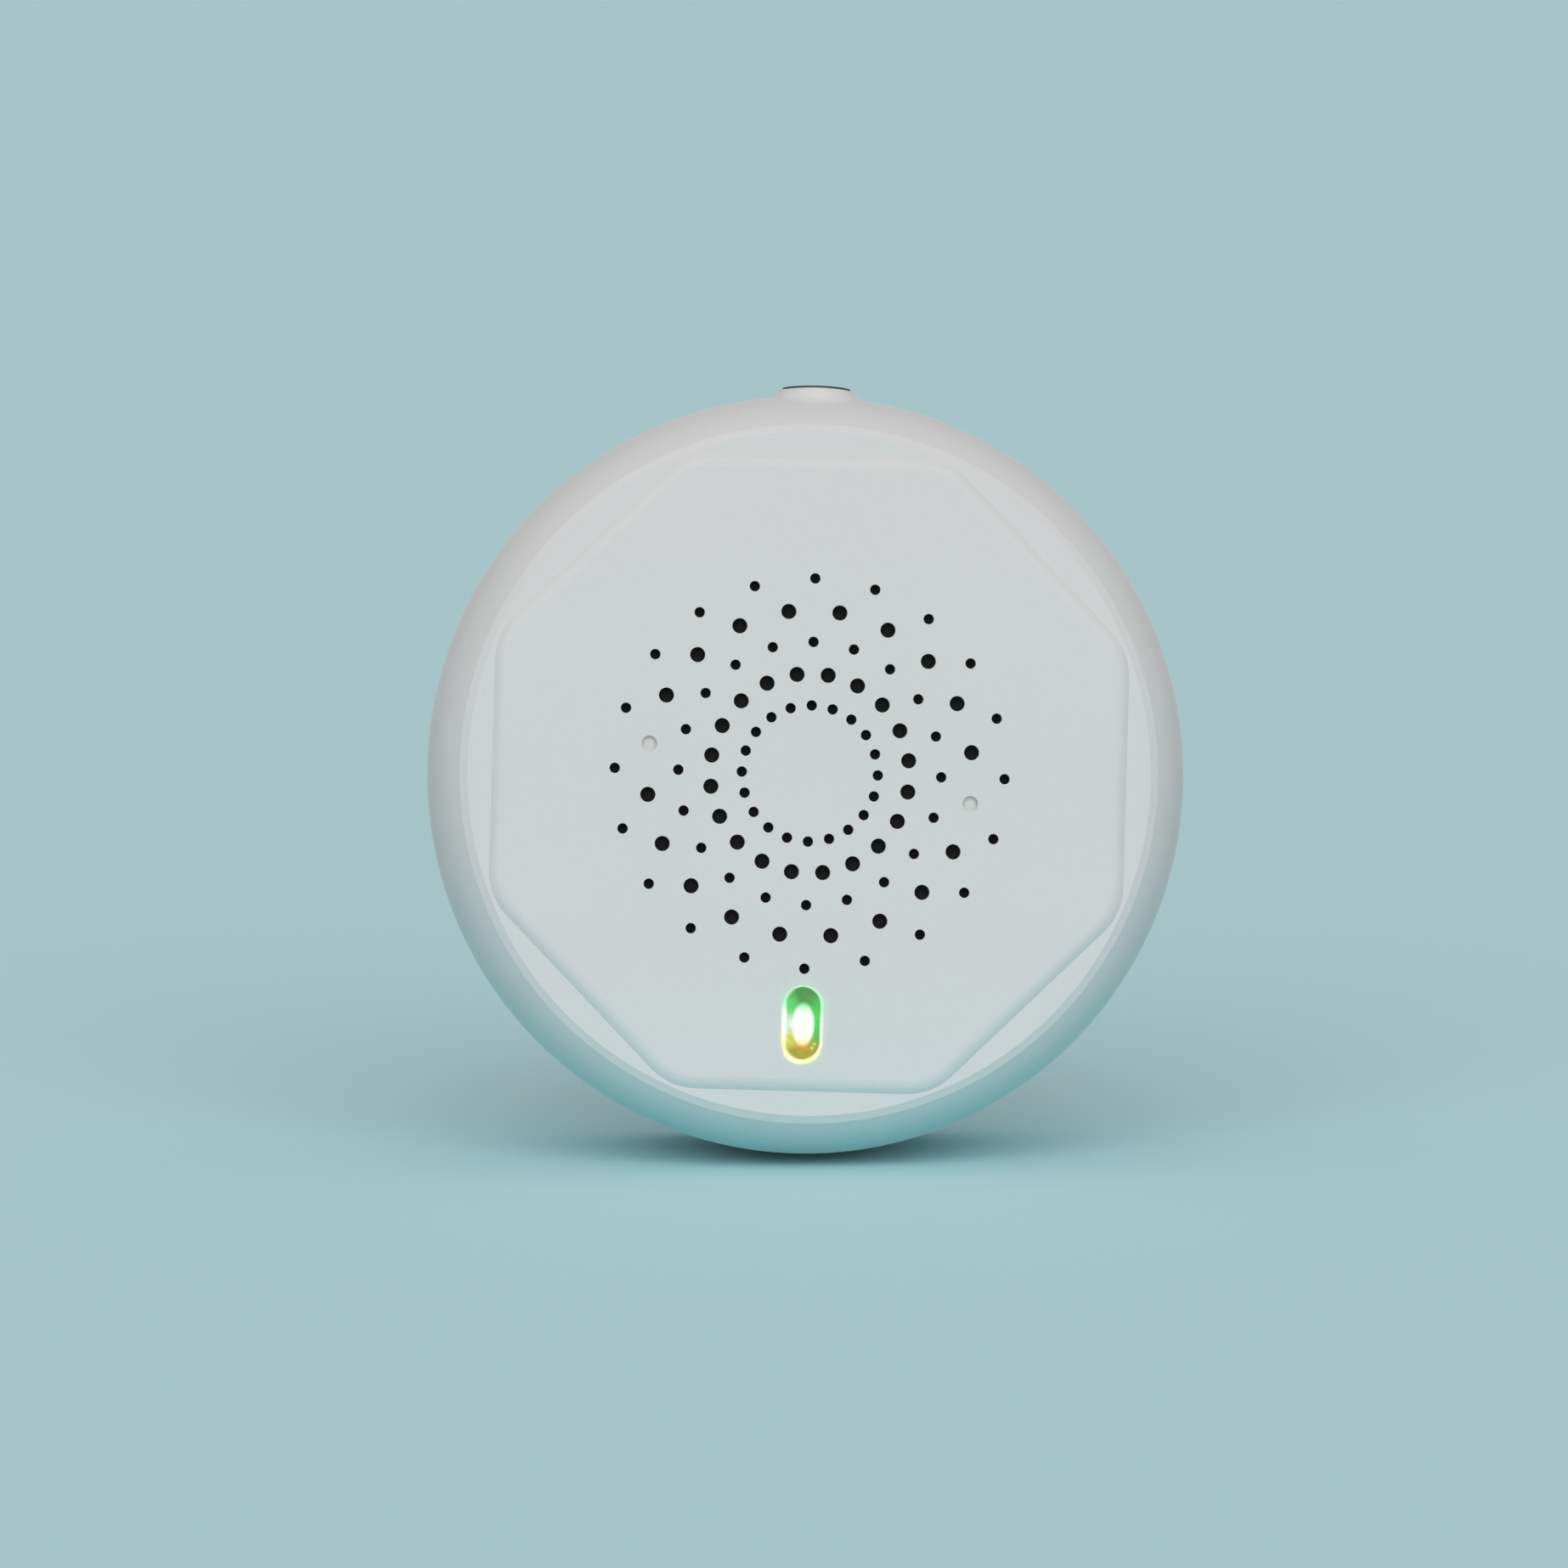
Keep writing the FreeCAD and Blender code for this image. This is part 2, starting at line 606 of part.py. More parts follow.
def rear_housing():
    shell = housing_body().cut(housing_cavity())
    tongue = tube(parting_radius(WALL) + LAP_THICK, parting_radius(WALL), PARTING_LEVEL - WALL,
                  PARTING_LEVEL + LAP_HEIGHT)
    post_top = POST_MEETING - CASE_POST_GAP
    posts = [cylinder(CASE_POST_OUTER, FLOOR_BACK, post_top, x, y) for x, y in case_screw_places()]
    shell = joined([shell, tongue] + posts)
    shell = shell.cut(cylinder(BRACKET_RADIUS + BRACKET_SIDE_PLAY, 0.0, FLOOR_BACK))
    shaft_radius = CASE_SCREW_RADIUS + HOLE_PLAY
    head_room = CASE_SCREW_HEAD_RADIUS + HEAD_ROOM
    shafts = [cylinder(shaft_radius, 0.0, POST_MEETING, x, y) for x, y in case_screw_places()]
    sinks = [cylinder(head_room, 0.0, CASE_SCREW_SEAT, x, y) for x, y in case_screw_places()]
    return without(shell, shafts + sinks + hook_slots())


# Wall bracket

def bracket_hook(number):
    """Stem through the housing's slot, and a catch that lies over the housing's floor."""
    inner = HOOK_CIRCLE - HOOK_WIDTH / 2
    outer = HOOK_CIRCLE + HOOK_WIDTH / 2
    head_level = FLOOR_FRONT + BRACKET_PLAY
    stem = ring_sector(inner, outer, BRACKET_THICK / 2, head_level, hook_angle(number), HOOK_STEM_ANGLE)
    head = ring_sector(inner, outer, head_level, head_level + HOOK_HEAD_THICK, hook_angle(number),
                       HOOK_STEM_ANGLE + HOOK_CATCH_ANGLE)
    return [stem, head]


def countersunk_hole(x, y):
    sink_depth = BRACKET_SINK_RADIUS - BRACKET_SCREW_RADIUS
    hole = cylinder(BRACKET_SCREW_RADIUS, 0.0, BRACKET_THICK, x, y)
    cone = Part.makeCone(BRACKET_SCREW_RADIUS, BRACKET_SINK_RADIUS, sink_depth,
                         Vector(x, y, BRACKET_THICK - sink_depth))
    return [hole, cone]


def hook_window(number):
    """Opening under a catch, where the mould reaches through the disc."""
    inner = HOOK_CIRCLE - HOOK_WIDTH / 2 - HOOK_CLEARANCE
    outer = HOOK_CIRCLE + HOOK_WIDTH / 2 + HOOK_CLEARANCE
    return ring_sector(inner, outer, 0.0, BRACKET_THICK, hook_angle(number) + HOOK_STEM_ANGLE,
                       HOOK_CATCH_ANGLE + HOOK_PLAY_ANGLE)


def wall_bracket():
    disc = cylinder(BRACKET_RADIUS, 0.0, BRACKET_THICK)
    disc = disc.makeChamfer(BRACKET_EDGE, edges_at(disc, BRACKET_THICK))
    hooks = [piece for number in range(HOOK_COUNT) for piece in bracket_hook(number)]
    holes = [hook_window(number) for number in range(HOOK_COUNT)]
    for x, y in bracket_screw_places():
        holes += countersunk_hole(x, y)
    return without(joined([disc] + hooks), holes)


# Indicator

def indicator_lens():
    """Light pipe with a flange that rests on the back of the plate."""
    width = SLOT_WIDTH - 2 * LENS_CLEARANCE
    length = SLOT_LENGTH - 2 * LENS_CLEARANCE
    front = BODY_DEPTH - LENS_RECESS
    back = BOARD_FRONT + LAMP_HEIGHT + LAMP_DOME_HEIGHT + LAMP_GAP
    pipe = obround(width, length, back, front, 0.0, SLOT_Y)
    pipe = pipe.makeChamfer(LENS_CHAMFER, edges_at(pipe, front))
    flange = obround(SLOT_WIDTH + 2 * LENS_FLANGE, SLOT_LENGTH + 2 * LENS_FLANGE, LENS_BACK, PLATE_INSIDE,
                     0.0, SLOT_Y)
    return joined([pipe, flange])


def lens_holder():
    """Opaque sleeve from the board to the lens flange, round the light pipe and the lamps."""
    outer = obround(SLOT_WIDTH + 2 * HOLDER_WALL, SLOT_LENGTH + 2 * HOLDER_WALL, BOARD_FRONT, LENS_BACK,
                    0.0, SLOT_Y)
    return outer.cut(obround(SLOT_WIDTH, SLOT_LENGTH, BOARD_FRONT, LENS_BACK, 0.0, SLOT_Y))


def lamp(place):
    """Surface-mounted lamp: square body and round lens. The place counts up from the middle lamp."""
    y = SLOT_Y + place * LAMP_SPACING
    body_top = BOARD_FRONT + LAMP_HEIGHT
    body = block(LAMP_WIDTH, LAMP_LENGTH, BOARD_FRONT, body_top, 0.0, y)
    dome = cylinder(LAMP_DOME_RADIUS, body_top - LAMP_HEIGHT / 2, body_top + LAMP_DOME_HEIGHT, 0.0, y)
    return joined([body, dome])


def insect_screen():
    return cylinder(SCREEN_RADIUS, SCREEN_BACK, SCREEN_SEAT)


# Power jack and its bush

def inlet_bush():
    """Black bush in the neck, with a thin flange on the neck's curved end."""
    start = NECK_END - BUSH_DEPTH
    end = NECK_END + BUSH_FLANGE_THICK
    sleeve = cylinder_up(NECK_BORE_RADIUS - BUSH_CLEARANCE, start, end + BEYOND, 0.0, NECK_LEVEL)
    flange = cylinder_up(NECK_RADIUS - BUSH_FLANGE_INSET, start, end + BEYOND, 0.0, NECK_LEVEL)
    flange = flange.cut(cylinder(NECK_END, 0.0, BODY_DEPTH))
    bush = joined([sleeve, flange]).common(cylinder(end, 0.0, BODY_DEPTH))
    return bush.cut(cylinder_up(BUSH_BORE_RADIUS, start, end, 0.0, NECK_LEVEL))


def jack_front():
    return BODY_RADIUS - JACK_SETBACK


def jack_nose_end():
    return NECK_END - BUSH_DEPTH - JACK_NOSE_GAP


def jack_bore_end():
    return jack_nose_end() - JACK_BORE_DEPTH


def jack_body():
    """Moulded jack on the board's front, its round nose inside the neck."""
    body = block(JACK_WIDTH, JACK_LENGTH, BOARD_FRONT, NECK_LEVEL + JACK_TOP_HEIGHT, 0.0,
                 jack_front() - JACK_LENGTH / 2)
    nose = cylinder_up(JACK_NOSE_RADIUS, jack_front() - WALL, jack_nose_end(), 0.0, NECK_LEVEL)
    bore = cylinder_up(JACK_BORE_RADIUS, jack_bore_end(), jack_nose_end() + BEYOND, 0.0, NECK_LEVEL)
    return without(joined([body, nose]), [bore, jack_pin_root()])


def jack_pin_root():
    """Thicker root of the pin, moulded into the jack behind its bore."""
    return cylinder_up(JACK_ROOT_RADIUS, jack_bore_end() - JACK_ROOT_LENGTH, jack_bore_end(), 0.0, NECK_LEVEL)


def jack_pin():
    end = jack_nose_end() - JACK_PIN_RECESS
    pin = cylinder_up(JACK_PIN_RADIUS, jack_bore_end(), end, 0.0, NECK_LEVEL)
    tip = [edge for edge in pin.Edges if edge.BoundBox.YMin > end - NEAR]
    return joined([pin.makeChamfer(JACK_PIN_TIP, tip), jack_pin_root()])


def jack_lug(x, y, play):
    return block(LUG_WIDTH + 2 * play, LUG_THICK + 2 * play, BOARD_BACK - PIN_STICK_OUT, BOARD_FRONT, x, y)


def jack_lugs():
    return Part.makeCompound([jack_lug(x, y, 0.0) for x, y in lug_places()])


# Main board

def post_notch(x, y):
    """Notch from the board's edge round one of the cover's posts."""
    radius = CASE_POST_RADIUS + BOARD_CLEARANCE
    reach = BOARD_RADIUS - CASE_SCREW_CIRCLE + BEYOND
    slot = block(2 * reach, 2 * radius, BOARD_BACK, BOARD_FRONT, CASE_SCREW_CIRCLE + reach, 0.0)
    slot.rotate(Vector(0, 0, 0), Vector(0, 0, 1), math.degrees(math.atan2(y, x)))
    return slot.fuse(cylinder(radius, BOARD_BACK, BOARD_FRONT, x, y))


def main_board():
    board = cylinder(BOARD_RADIUS, BOARD_BACK, BOARD_FRONT)
    cuts = [post_notch(x, y) for x, y in case_screw_places()]
    for x, y in board_screw_places():
        cuts.append(cylinder(BOARD_SCREW_RADIUS + HOLE_PLAY, BOARD_BACK, BOARD_FRONT, x, y))
    for x, y in sensor_pin_places():
        cuts.append(cylinder(SENSOR_PIN_RADIUS + PIN_PLAY, BOARD_BACK, BOARD_FRONT, x, y))
    for x, y in sounder_pin_places():
        cuts.append(cylinder(SOUNDER_PIN_RADIUS + PIN_PLAY, BOARD_BACK, BOARD_FRONT, x, y))
    cuts += [jack_lug(x, y, PIN_PLAY) for x, y in lug_places()]
    return without(board, cuts)


# Gas sensor

def sensor_header():
    flange_top = BOARD_FRONT + SENSOR_FLANGE_THICK
    flange = cylinder(SENSOR_FLANGE_RADIUS, BOARD_FRONT, flange_top, SENSOR_X, SENSOR_Y)
    step = cylinder(SENSOR_STEP_RADIUS, BOARD_FRONT, flange_top + SENSOR_STEP_HEIGHT, SENSOR_X, SENSOR_Y)
    return without(joined([flange, step]), [sensor_pin(x, y) for x, y in sensor_pin_places()])


def sensor_pin_top():
    return BOARD_FRONT + SENSOR_FLANGE_THICK + SENSOR_STEP_HEIGHT + SENSOR_PIN_RISE


def sensor_pin(x, y):
    return cylinder(SENSOR_PIN_RADIUS, BOARD_BACK - PIN_STICK_OUT, sensor_pin_top(), x, y)


def sensor_pins():
    return Part.makeCompound([sensor_pin(x, y) for x, y in sensor_pin_places()])


def sensor_chip():
    """Sensing element, carried on the tops of the pins."""
    return block(SENSOR_CHIP_SIZE, SENSOR_CHIP_SIZE, sensor_pin_top(), sensor_pin_top() + SENSOR_CHIP_THICK,
                 SENSOR_X, SENSOR_Y)


def sensor_cap_levels():
    bottom = BOARD_FRONT + SENSOR_FLANGE_THICK
    return bottom, bottom + SENSOR_CAP_HEIGHT


def sensor_cap():
    bottom, top = sensor_cap_levels()
    can = cylinder(SENSOR_CAP_RADIUS, bottom, top, SENSOR_X, SENSOR_Y)
    can = can.makeChamfer(SENSOR_CAP_WALL, edges_at(can, top))
    inside = cylinder(SENSOR_STEP_RADIUS, bottom, top - SENSOR_CAP_WALL, SENSOR_X, SENSOR_Y)
    mouth = cylinder(SENSOR_MOUTH_RADIUS, bottom, top, SENSOR_X, SENSOR_Y)
    return without(can, [inside, mouth])


def sensor_gauze():
    roof = sensor_cap_levels()[1] - SENSOR_CAP_WALL
    return cylinder(SENSOR_STEP_RADIUS - PIN_PLAY, roof - SENSOR_GAUZE_THICK, roof, SENSOR_X, SENSOR_Y)


def sensor_sleeve():
    """Soft sleeve that leads the gas from the screen to the sensor."""
    return tube(SLEEVE_RADIUS, SLEEVE_RADIUS - SLEEVE_WALL, BOARD_FRONT, SCREEN_BACK, SENSOR_X, SENSOR_Y)


# Sounder

def sounder_case():
    """Round case, open at the bottom, with a step that the disc rests against."""
    top = BOARD_FRONT + SOUNDER_HEIGHT
    inner = SOUNDER_RADIUS - SOUNDER_WALL
    disc_top = BOARD_FRONT + SOUNDER_DISC_LEVEL + SOUNDER_DISC_THICK
    case = cylinder(SOUNDER_RADIUS, BOARD_FRONT, top, SOUNDER_X, SOUNDER_Y)
    case = case.makeChamfer(SOUNDER_WALL, edges_at(case, top))
    lower = cylinder(inner, BOARD_FRONT, disc_top, SOUNDER_X, SOUNDER_Y)
    upper = cylinder(inner - SOUNDER_STEP, BOARD_FRONT, top - SOUNDER_ROOF, SOUNDER_X, SOUNDER_Y)
    mouth = cylinder(SOUNDER_MOUTH_RADIUS, BOARD_FRONT, top, SOUNDER_X, SOUNDER_Y)
    return without(case, [lower, upper, mouth])


def sounder_disc():
    level = BOARD_FRONT + SOUNDER_DISC_LEVEL
    radius = SOUNDER_RADIUS - SOUNDER_WALL - SOUNDER_DISC_PLAY
    return cylinder(radius, level, level + SOUNDER_DISC_THICK, SOUNDER_X, SOUNDER_Y)


def sounder_pin(x, y):
    return cylinder(SOUNDER_PIN_RADIUS, BOARD_BACK - PIN_STICK_OUT, BOARD_FRONT + SOUNDER_DISC_LEVEL, x, y)


def sounder_pins():
    return Part.makeCompound([sounder_pin(x, y) for x, y in sounder_pin_places()])


def sounder_base():
    radius = SOUNDER_RADIUS - SOUNDER_WALL - SOUNDER_DISC_PLAY
    plate = cylinder(radius, BOARD_FRONT, BOARD_FRONT + SOUNDER_BASE_THICK, SOUNDER_X, SOUNDER_Y)
    return without(plate, [sounder_pin(x, y) for x, y in sounder_pin_places()])


# Parts on the back of the board

def radio_board():
    return block(RADIO_WIDTH, RADIO_LENGTH, BOARD_BACK - RADIO_THICK, BOARD_BACK, RADIO_X, RADIO_Y)


def radio_shield():
    """Pressed tin lid over the radio chips, clear of the aerial end of the module."""
    y = RADIO_Y - SHIELD_DROP
    top = BOARD_BACK - RADIO_THICK
    bottom = top - SHIELD_HEIGHT
    lid = rounded_block(SHIELD_WIDTH, SHIELD_LENGTH, 2 * SHIELD_WALL, bottom, top, RADIO_X, y)
    inside = block(SHIELD_WIDTH - 2 * SHIELD_WALL, SHIELD_LENGTH - 2 * SHIELD_WALL, bottom + SHIELD_WALL, top,
                   RADIO_X, y)
    return lid.cut(inside)


def controller_chip():
    top = BOARD_BACK - CHIP_STAND
    return block(CHIP_SIZE, CHIP_SIZE, top - CHIP_THICK, top, CHIP_X, CHIP_Y)


def chip_lead(offset):
    """One gull-wing lead on the right side of the chip, drawn about the chip's centre."""
    edge = CHIP_SIZE / 2
    exit_level = BOARD_BACK - CHIP_STAND - CHIP_THICK / 2
    reach = edge + LEAD_REACH
    foot_start = reach - LEAD_FOOT
    foot_level = BOARD_BACK - LEAD_THICK
    bend = foot_start - LEAD_THICK
    points = [at(edge, exit_level), at(foot_start, exit_level), at(foot_start, foot_level),
              at(reach, foot_level), at(reach, BOARD_BACK), at(bend, BOARD_BACK),
              at(bend, exit_level + LEAD_THICK), at(edge, exit_level + LEAD_THICK)]
    outline = Part.Face(Part.makePolygon(points + points[:1]))
    lead = outline.extrude(Vector(0, LEAD_WIDTH, 0))
    lead.translate(Vector(0, offset - LEAD_WIDTH / 2, 0))
    return lead


def controller_leads():
    leads = []
    for side in range(4):
        for number in range(LEADS_PER_SIDE):
            lead = chip_lead((number - (LEADS_PER_SIDE - 1) / 2) * LEAD_SPACING)
            lead.rotate(Vector(0, 0, 0), Vector(0, 0, 1), 90 * side)
            lead.translate(Vector(CHIP_X, CHIP_Y, 0))
            leads.append(lead)
    return Part.makeCompound(leads)


def regulator_chip():
    """Flat regulator with its cooling tab."""
    body = block(REGULATOR_WIDTH, REGULATOR_LENGTH, BOARD_BACK - REGULATOR_THICK, BOARD_BACK,
                 REGULATOR_X, REGULATOR_Y)
    tab_y = REGULATOR_Y + REGULATOR_LENGTH / 2 + REGULATOR_TAB_LENGTH / 2 - REGULATOR_TAB_THICK
    tab = block(REGULATOR_TAB_WIDTH, REGULATOR_TAB_LENGTH, BOARD_BACK - REGULATOR_TAB_THICK, BOARD_BACK,
                REGULATOR_X, tab_y)
    return joined([body, tab])


def power_inductor():
    bottom = BOARD_BACK - INDUCTOR_HEIGHT
    return rounded_block(INDUCTOR_SIZE, INDUCTOR_SIZE, INDUCTOR_CORNER, bottom, BOARD_BACK,
                         INDUCTOR_X, INDUCTOR_Y)


def capacitor_base():
    size = 2 * (CAPACITOR_RADIUS + CAPACITOR_BASE_MARGIN)
    base = block(size, size, BOARD_BACK - CAPACITOR_BASE_THICK, BOARD_BACK, CAPACITOR_X, CAPACITOR_Y)
    marked = [edge for edge in upright_edges(base) if edge.BoundBox.XMax < CAPACITOR_X]
    return base.makeChamfer(CAPACITOR_BASE_CORNER, marked)


def capacitor_can():
    """Aluminium can with the rolled groove that holds its seal."""
    seat = BOARD_BACK - CAPACITOR_BASE_THICK
    end = seat - CAPACITOR_HEIGHT
    groove = seat - CAPACITOR_GROOVE_LEVEL
    half = CAPACITOR_GROOVE_WIDTH / 2
    end_edge = [at(0, end), at(CAPACITOR_RADIUS - CAPACITOR_EDGE, end),
                at(CAPACITOR_RADIUS, end + CAPACITOR_EDGE)]
    notch = [at(CAPACITOR_RADIUS, groove - half), at(CAPACITOR_RADIUS - CAPACITOR_GROOVE_DEPTH, groove),
             at(CAPACITOR_RADIUS, groove + half)]
    can = turned(straight_lines(end_edge + notch + [at(CAPACITOR_RADIUS, seat), at(0, seat), at(0, end)]))
    can.translate(Vector(CAPACITOR_X, CAPACITOR_Y, 0))
    return can


def crystal_can():
    bottom = BOARD_BACK - CRYSTAL_THICK
    return rounded_block(CRYSTAL_WIDTH, CRYSTAL_LENGTH, CRYSTAL_CORNER, bottom, BOARD_BACK,
                         CRYSTAL_X, CHIP_Y)


# Screws, all driven from behind

def screw(x, y, seat, radius, length, head_radius, head_height):
    """Pan-head screw whose head lies behind its seat, with a cross recess."""
    shank = cylinder(radius, seat - head_height / 2, seat + length, x, y)
    head = cylinder(head_radius, seat - head_height, seat, x, y)
    head = head.makeChamfer(head_height / 3, edges_at(head, seat - head_height))
    span = 2 * RECESS_SHARE * head_radius
    bottom = seat - head_height
    cross = [block(span, RECESS_WIDTH, bottom, bottom + RECESS_DEPTH, x, y),
             block(RECESS_WIDTH, span, bottom, bottom + RECESS_DEPTH, x, y)]
    return without(joined([head, shank]), cross)


def case_screws():
    return Part.makeCompound([screw(x, y, CASE_SCREW_SEAT, CASE_SCREW_RADIUS, CASE_SCREW_LENGTH,
                                    CASE_SCREW_HEAD_RADIUS, CASE_SCREW_HEAD_HEIGHT)
                              for x, y in case_screw_places()])


def board_screws():
    return Part.makeCompound([screw(x, y, BOARD_BACK, BOARD_SCREW_RADIUS, BOARD_SCREW_LENGTH,
                                    BOARD_SCREW_HEAD_RADIUS, BOARD_SCREW_HEAD_HEIGHT)
                              for x, y in board_screw_places()])


# Export

def pieces():
    return {
        "front_cover": front_cover(),
        "rear_housing": rear_housing(),
        "wall_bracket": wall_bracket(),
        "indicator_lens": indicator_lens(),
        "lens_holder": lens_holder(),
        "green_lamp": lamp(1),
        "red_lamp": lamp(0),
        "amber_lamp": lamp(-1),
        "insect_screen": insect_screen(),
        "inlet_bush": inlet_bush(),
        "jack_body": jack_body(),
        "jack_pin": jack_pin(),
        "jack_lugs": jack_lugs(),
        "main_board": main_board(),
        "sensor_header": sensor_header(),
        "sensor_pins": sensor_pins(),
        "sensor_chip": sensor_chip(),
        "sensor_cap": sensor_cap(),
        "sensor_gauze": sensor_gauze(),
        "sensor_sleeve": sensor_sleeve(),
        "sounder_case": sounder_case(),
        "sounder_disc": sounder_disc(),
        "sounder_pins": sounder_pins(),
        "sounder_base": sounder_base(),
        "radio_board": radio_board(),
        "radio_shield": radio_shield(),
        "controller_chip": controller_chip(),
        "controller_leads": controller_leads(),
        "regulator_chip": regulator_chip(),
        "power_inductor": power_inductor(),
        "capacitor_base": capacitor_base(),
        "capacitor_can": capacitor_can(),
        "crystal_can": crystal_can(),
        "case_screws": case_screws(),
        "board_screws": board_screws(),
    }


def export(name, shape):
    """Turn one piece upright and write it, after checking that it is sound."""
    if not shape.isValid():
        raise ValueError(name + " is not a valid shape")
    upright = shape.copy()
    upright.rotate(Vector(0, 0, 0), Vector(1, 0, 0), 90)
    upright.exportStep(os.path.join("parts", name + ".step"))
    print(name, len(shape.Solids), "solids", round(shape.Volume, 2), "mm3")


os.makedirs("parts", exist_ok=True)
for piece_name, piece_shape in pieces().items():
    export(piece_name, piece_shape)
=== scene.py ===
import math

import bpy
from mathutils import Euler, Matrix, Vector


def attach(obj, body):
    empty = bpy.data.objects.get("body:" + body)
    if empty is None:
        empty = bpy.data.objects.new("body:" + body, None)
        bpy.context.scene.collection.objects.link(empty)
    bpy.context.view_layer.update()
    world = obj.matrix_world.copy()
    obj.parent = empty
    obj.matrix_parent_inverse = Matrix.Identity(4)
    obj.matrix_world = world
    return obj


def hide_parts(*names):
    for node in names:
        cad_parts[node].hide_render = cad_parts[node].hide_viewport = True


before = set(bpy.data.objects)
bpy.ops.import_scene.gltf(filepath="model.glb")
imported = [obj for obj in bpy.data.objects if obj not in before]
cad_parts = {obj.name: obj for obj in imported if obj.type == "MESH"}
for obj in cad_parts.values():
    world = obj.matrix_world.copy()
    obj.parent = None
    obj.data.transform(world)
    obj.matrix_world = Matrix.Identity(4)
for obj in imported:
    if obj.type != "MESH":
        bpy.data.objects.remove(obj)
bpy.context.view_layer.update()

# Looks of a round gas detector, drawn over its fixed frame, in metres.
# x runs to the viewer's right, -y out of the wall and z up the wall.
MM = 0.001
MM_PER_METRE = 1000.0

# Camera: place in metres, turn in degrees
CAMERA_PLACE = (-0.05951, -1.15489, -0.02077)
CAMERA_TURN = (90.9991, -1.6207, -2.9287)
LENS_MM = 233.7
SENSOR_MM = 36.0

# Paper floor, turned in degrees: the body leans back on its drafted side and is rolled a little on its rim
FLOOR_SIZE = 30.0
FLOOR_TILT = 6.5
FLOOR_ROLL = -1.96
FLOOR_ROUGHNESS = 0.9
PAPER_GRAIN = 900.0
PAPER_GRAIN_SHARE = 0.03
PAPER_FLECK = (0.9, 0.95, 0.95, 1.0)

# Colour of the paper as it is seen, and as it lights the body from near and from far.
# Near turns to far between two distances from the middle of the body, in metres.
FLOOR_SEEN = (0.57, 0.84, 0.88, 1.0)
FLOOR_NEAR = (0.12, 0.68, 0.74, 1.0)
FLOOR_FAR = (0.42, 0.5, 0.51, 1.0)
NEAR_FROM = 0.04
NEAR_TO = 0.16
BODY_MIDDLE = -0.018

# Soft light: an even sky, and a wide sun in front of the body with its turn and spread in degrees
SKY_COLOUR = (0.95, 0.98, 0.985, 1.0)
SKY_STRENGTH = 0.45
SUN_TURN = (73.0, 0.0, -2.0)
SUN_STRENGTH = 1.69
SUN_SPREAD = 70.0

# White plastic: light and dark colour of its cloud, roughness, and the sheen of its low-angle edges
COVER_WHITE = ((0.72, 0.7, 0.695), (0.705, 0.685, 0.68))
HOUSING_WHITE = ((0.72, 0.7, 0.695), (0.7, 0.68, 0.675))
BRACKET_WHITE = ((0.7, 0.685, 0.675), (0.675, 0.66, 0.65))
WHITE_ROUGHNESS = (0.42, 0.5)
SHEEN_WEIGHT = 0.6
SHEEN_ROUGHNESS = 0.35

# Surface grain: the part of a noise that is in use, and the usual cloud, grain and bump
NOISE_SPAN = (0.3, 0.7)
CLOUD_SCALE = 60.0
CLOUD_DETAIL = 3.0
GRAIN_SCALE = 3000.0
GRAIN_BUMP = 0.00002
RESIN_CLOUD = 400.0
RESIN_GRAIN = 5000.0
RESIN_ROUGH_RANGE = 0.12
METAL_CLOUD = 300.0
METAL_GRAIN = 2500.0
METAL_BUMP = 0.000004

# Woven screens: where a wire begins, how far it rises over the next one, and the gaps' roughness
WIRE_EDGE = (0.55, 0.85)
WIRE_CROSSING = 0.4
WEAVE_BUMP = 0.0001
GAP_ROUGHNESS = 0.9

# Cover, in mm: its face, the field of holes whose walls carry painted shade for the dark inside them, and the
# two blind dimples, which stand in for two holes of the fourth ring
FACE_LEVEL = -36.0
HOLE_FIELD_RADIUS = 22.6
HOLE_DARK_FROM = 0.02
HOLE_DARK_FULL = 0.12
HOLE_END = 1.25
# Colour of the painted shade on the walls of the holes
HOLE_SHADE_COLOUR = (0.004, 0.004, 0.004, 1.0)
EDGE_BLUR = 0.1
DIMPLE_RING = 18.0
DIMPLE_ANGLES = (-9.0, 171.0)
DIMPLE_REACH = 0.98

# Painted shade in the corner round a dimple, in mm: its ring's inner and outer edges, and how far aside it
# goes from its share on the left to its share on the right
DIMPLE_SHADE_INNER = (0.3, 0.6)
DIMPLE_SHADE_OUTER = (0.85, 1.0)
DIMPLE_SHADE_ASIDE = (0.1, 0.7)
DIMPLE_SHADE_SHARES = (0.11, 0.25)
DIMPLE_SHADE_COLOUR = (0.3, 0.26, 0.25, 1.0)

# Indicator slot and lens, in mm: middle height, half width, half length of the straight part, levels
# of the faces, rounded front edge, and how near to a level an edge that is on it lies
SLOT_HEIGHT = -27.5
SLOT_HALF = 2.0
SLOT_STRAIGHT = 2.0
LENS_HALF = 1.9
LENS_FRONT = -35.6
LENS_BACK = -26.6
LENS_EDGE = 0.25
LENS_EDGE_STEPS = 4
FLANGE_HALF = 2.45
FLANGE_FRONT = -34.0
FLANGE_BACK = -33.0
OUTLINE_STEPS = 96
LEVEL_MATCH = 0.02
SMOOTH_ANGLE = math.radians(35)
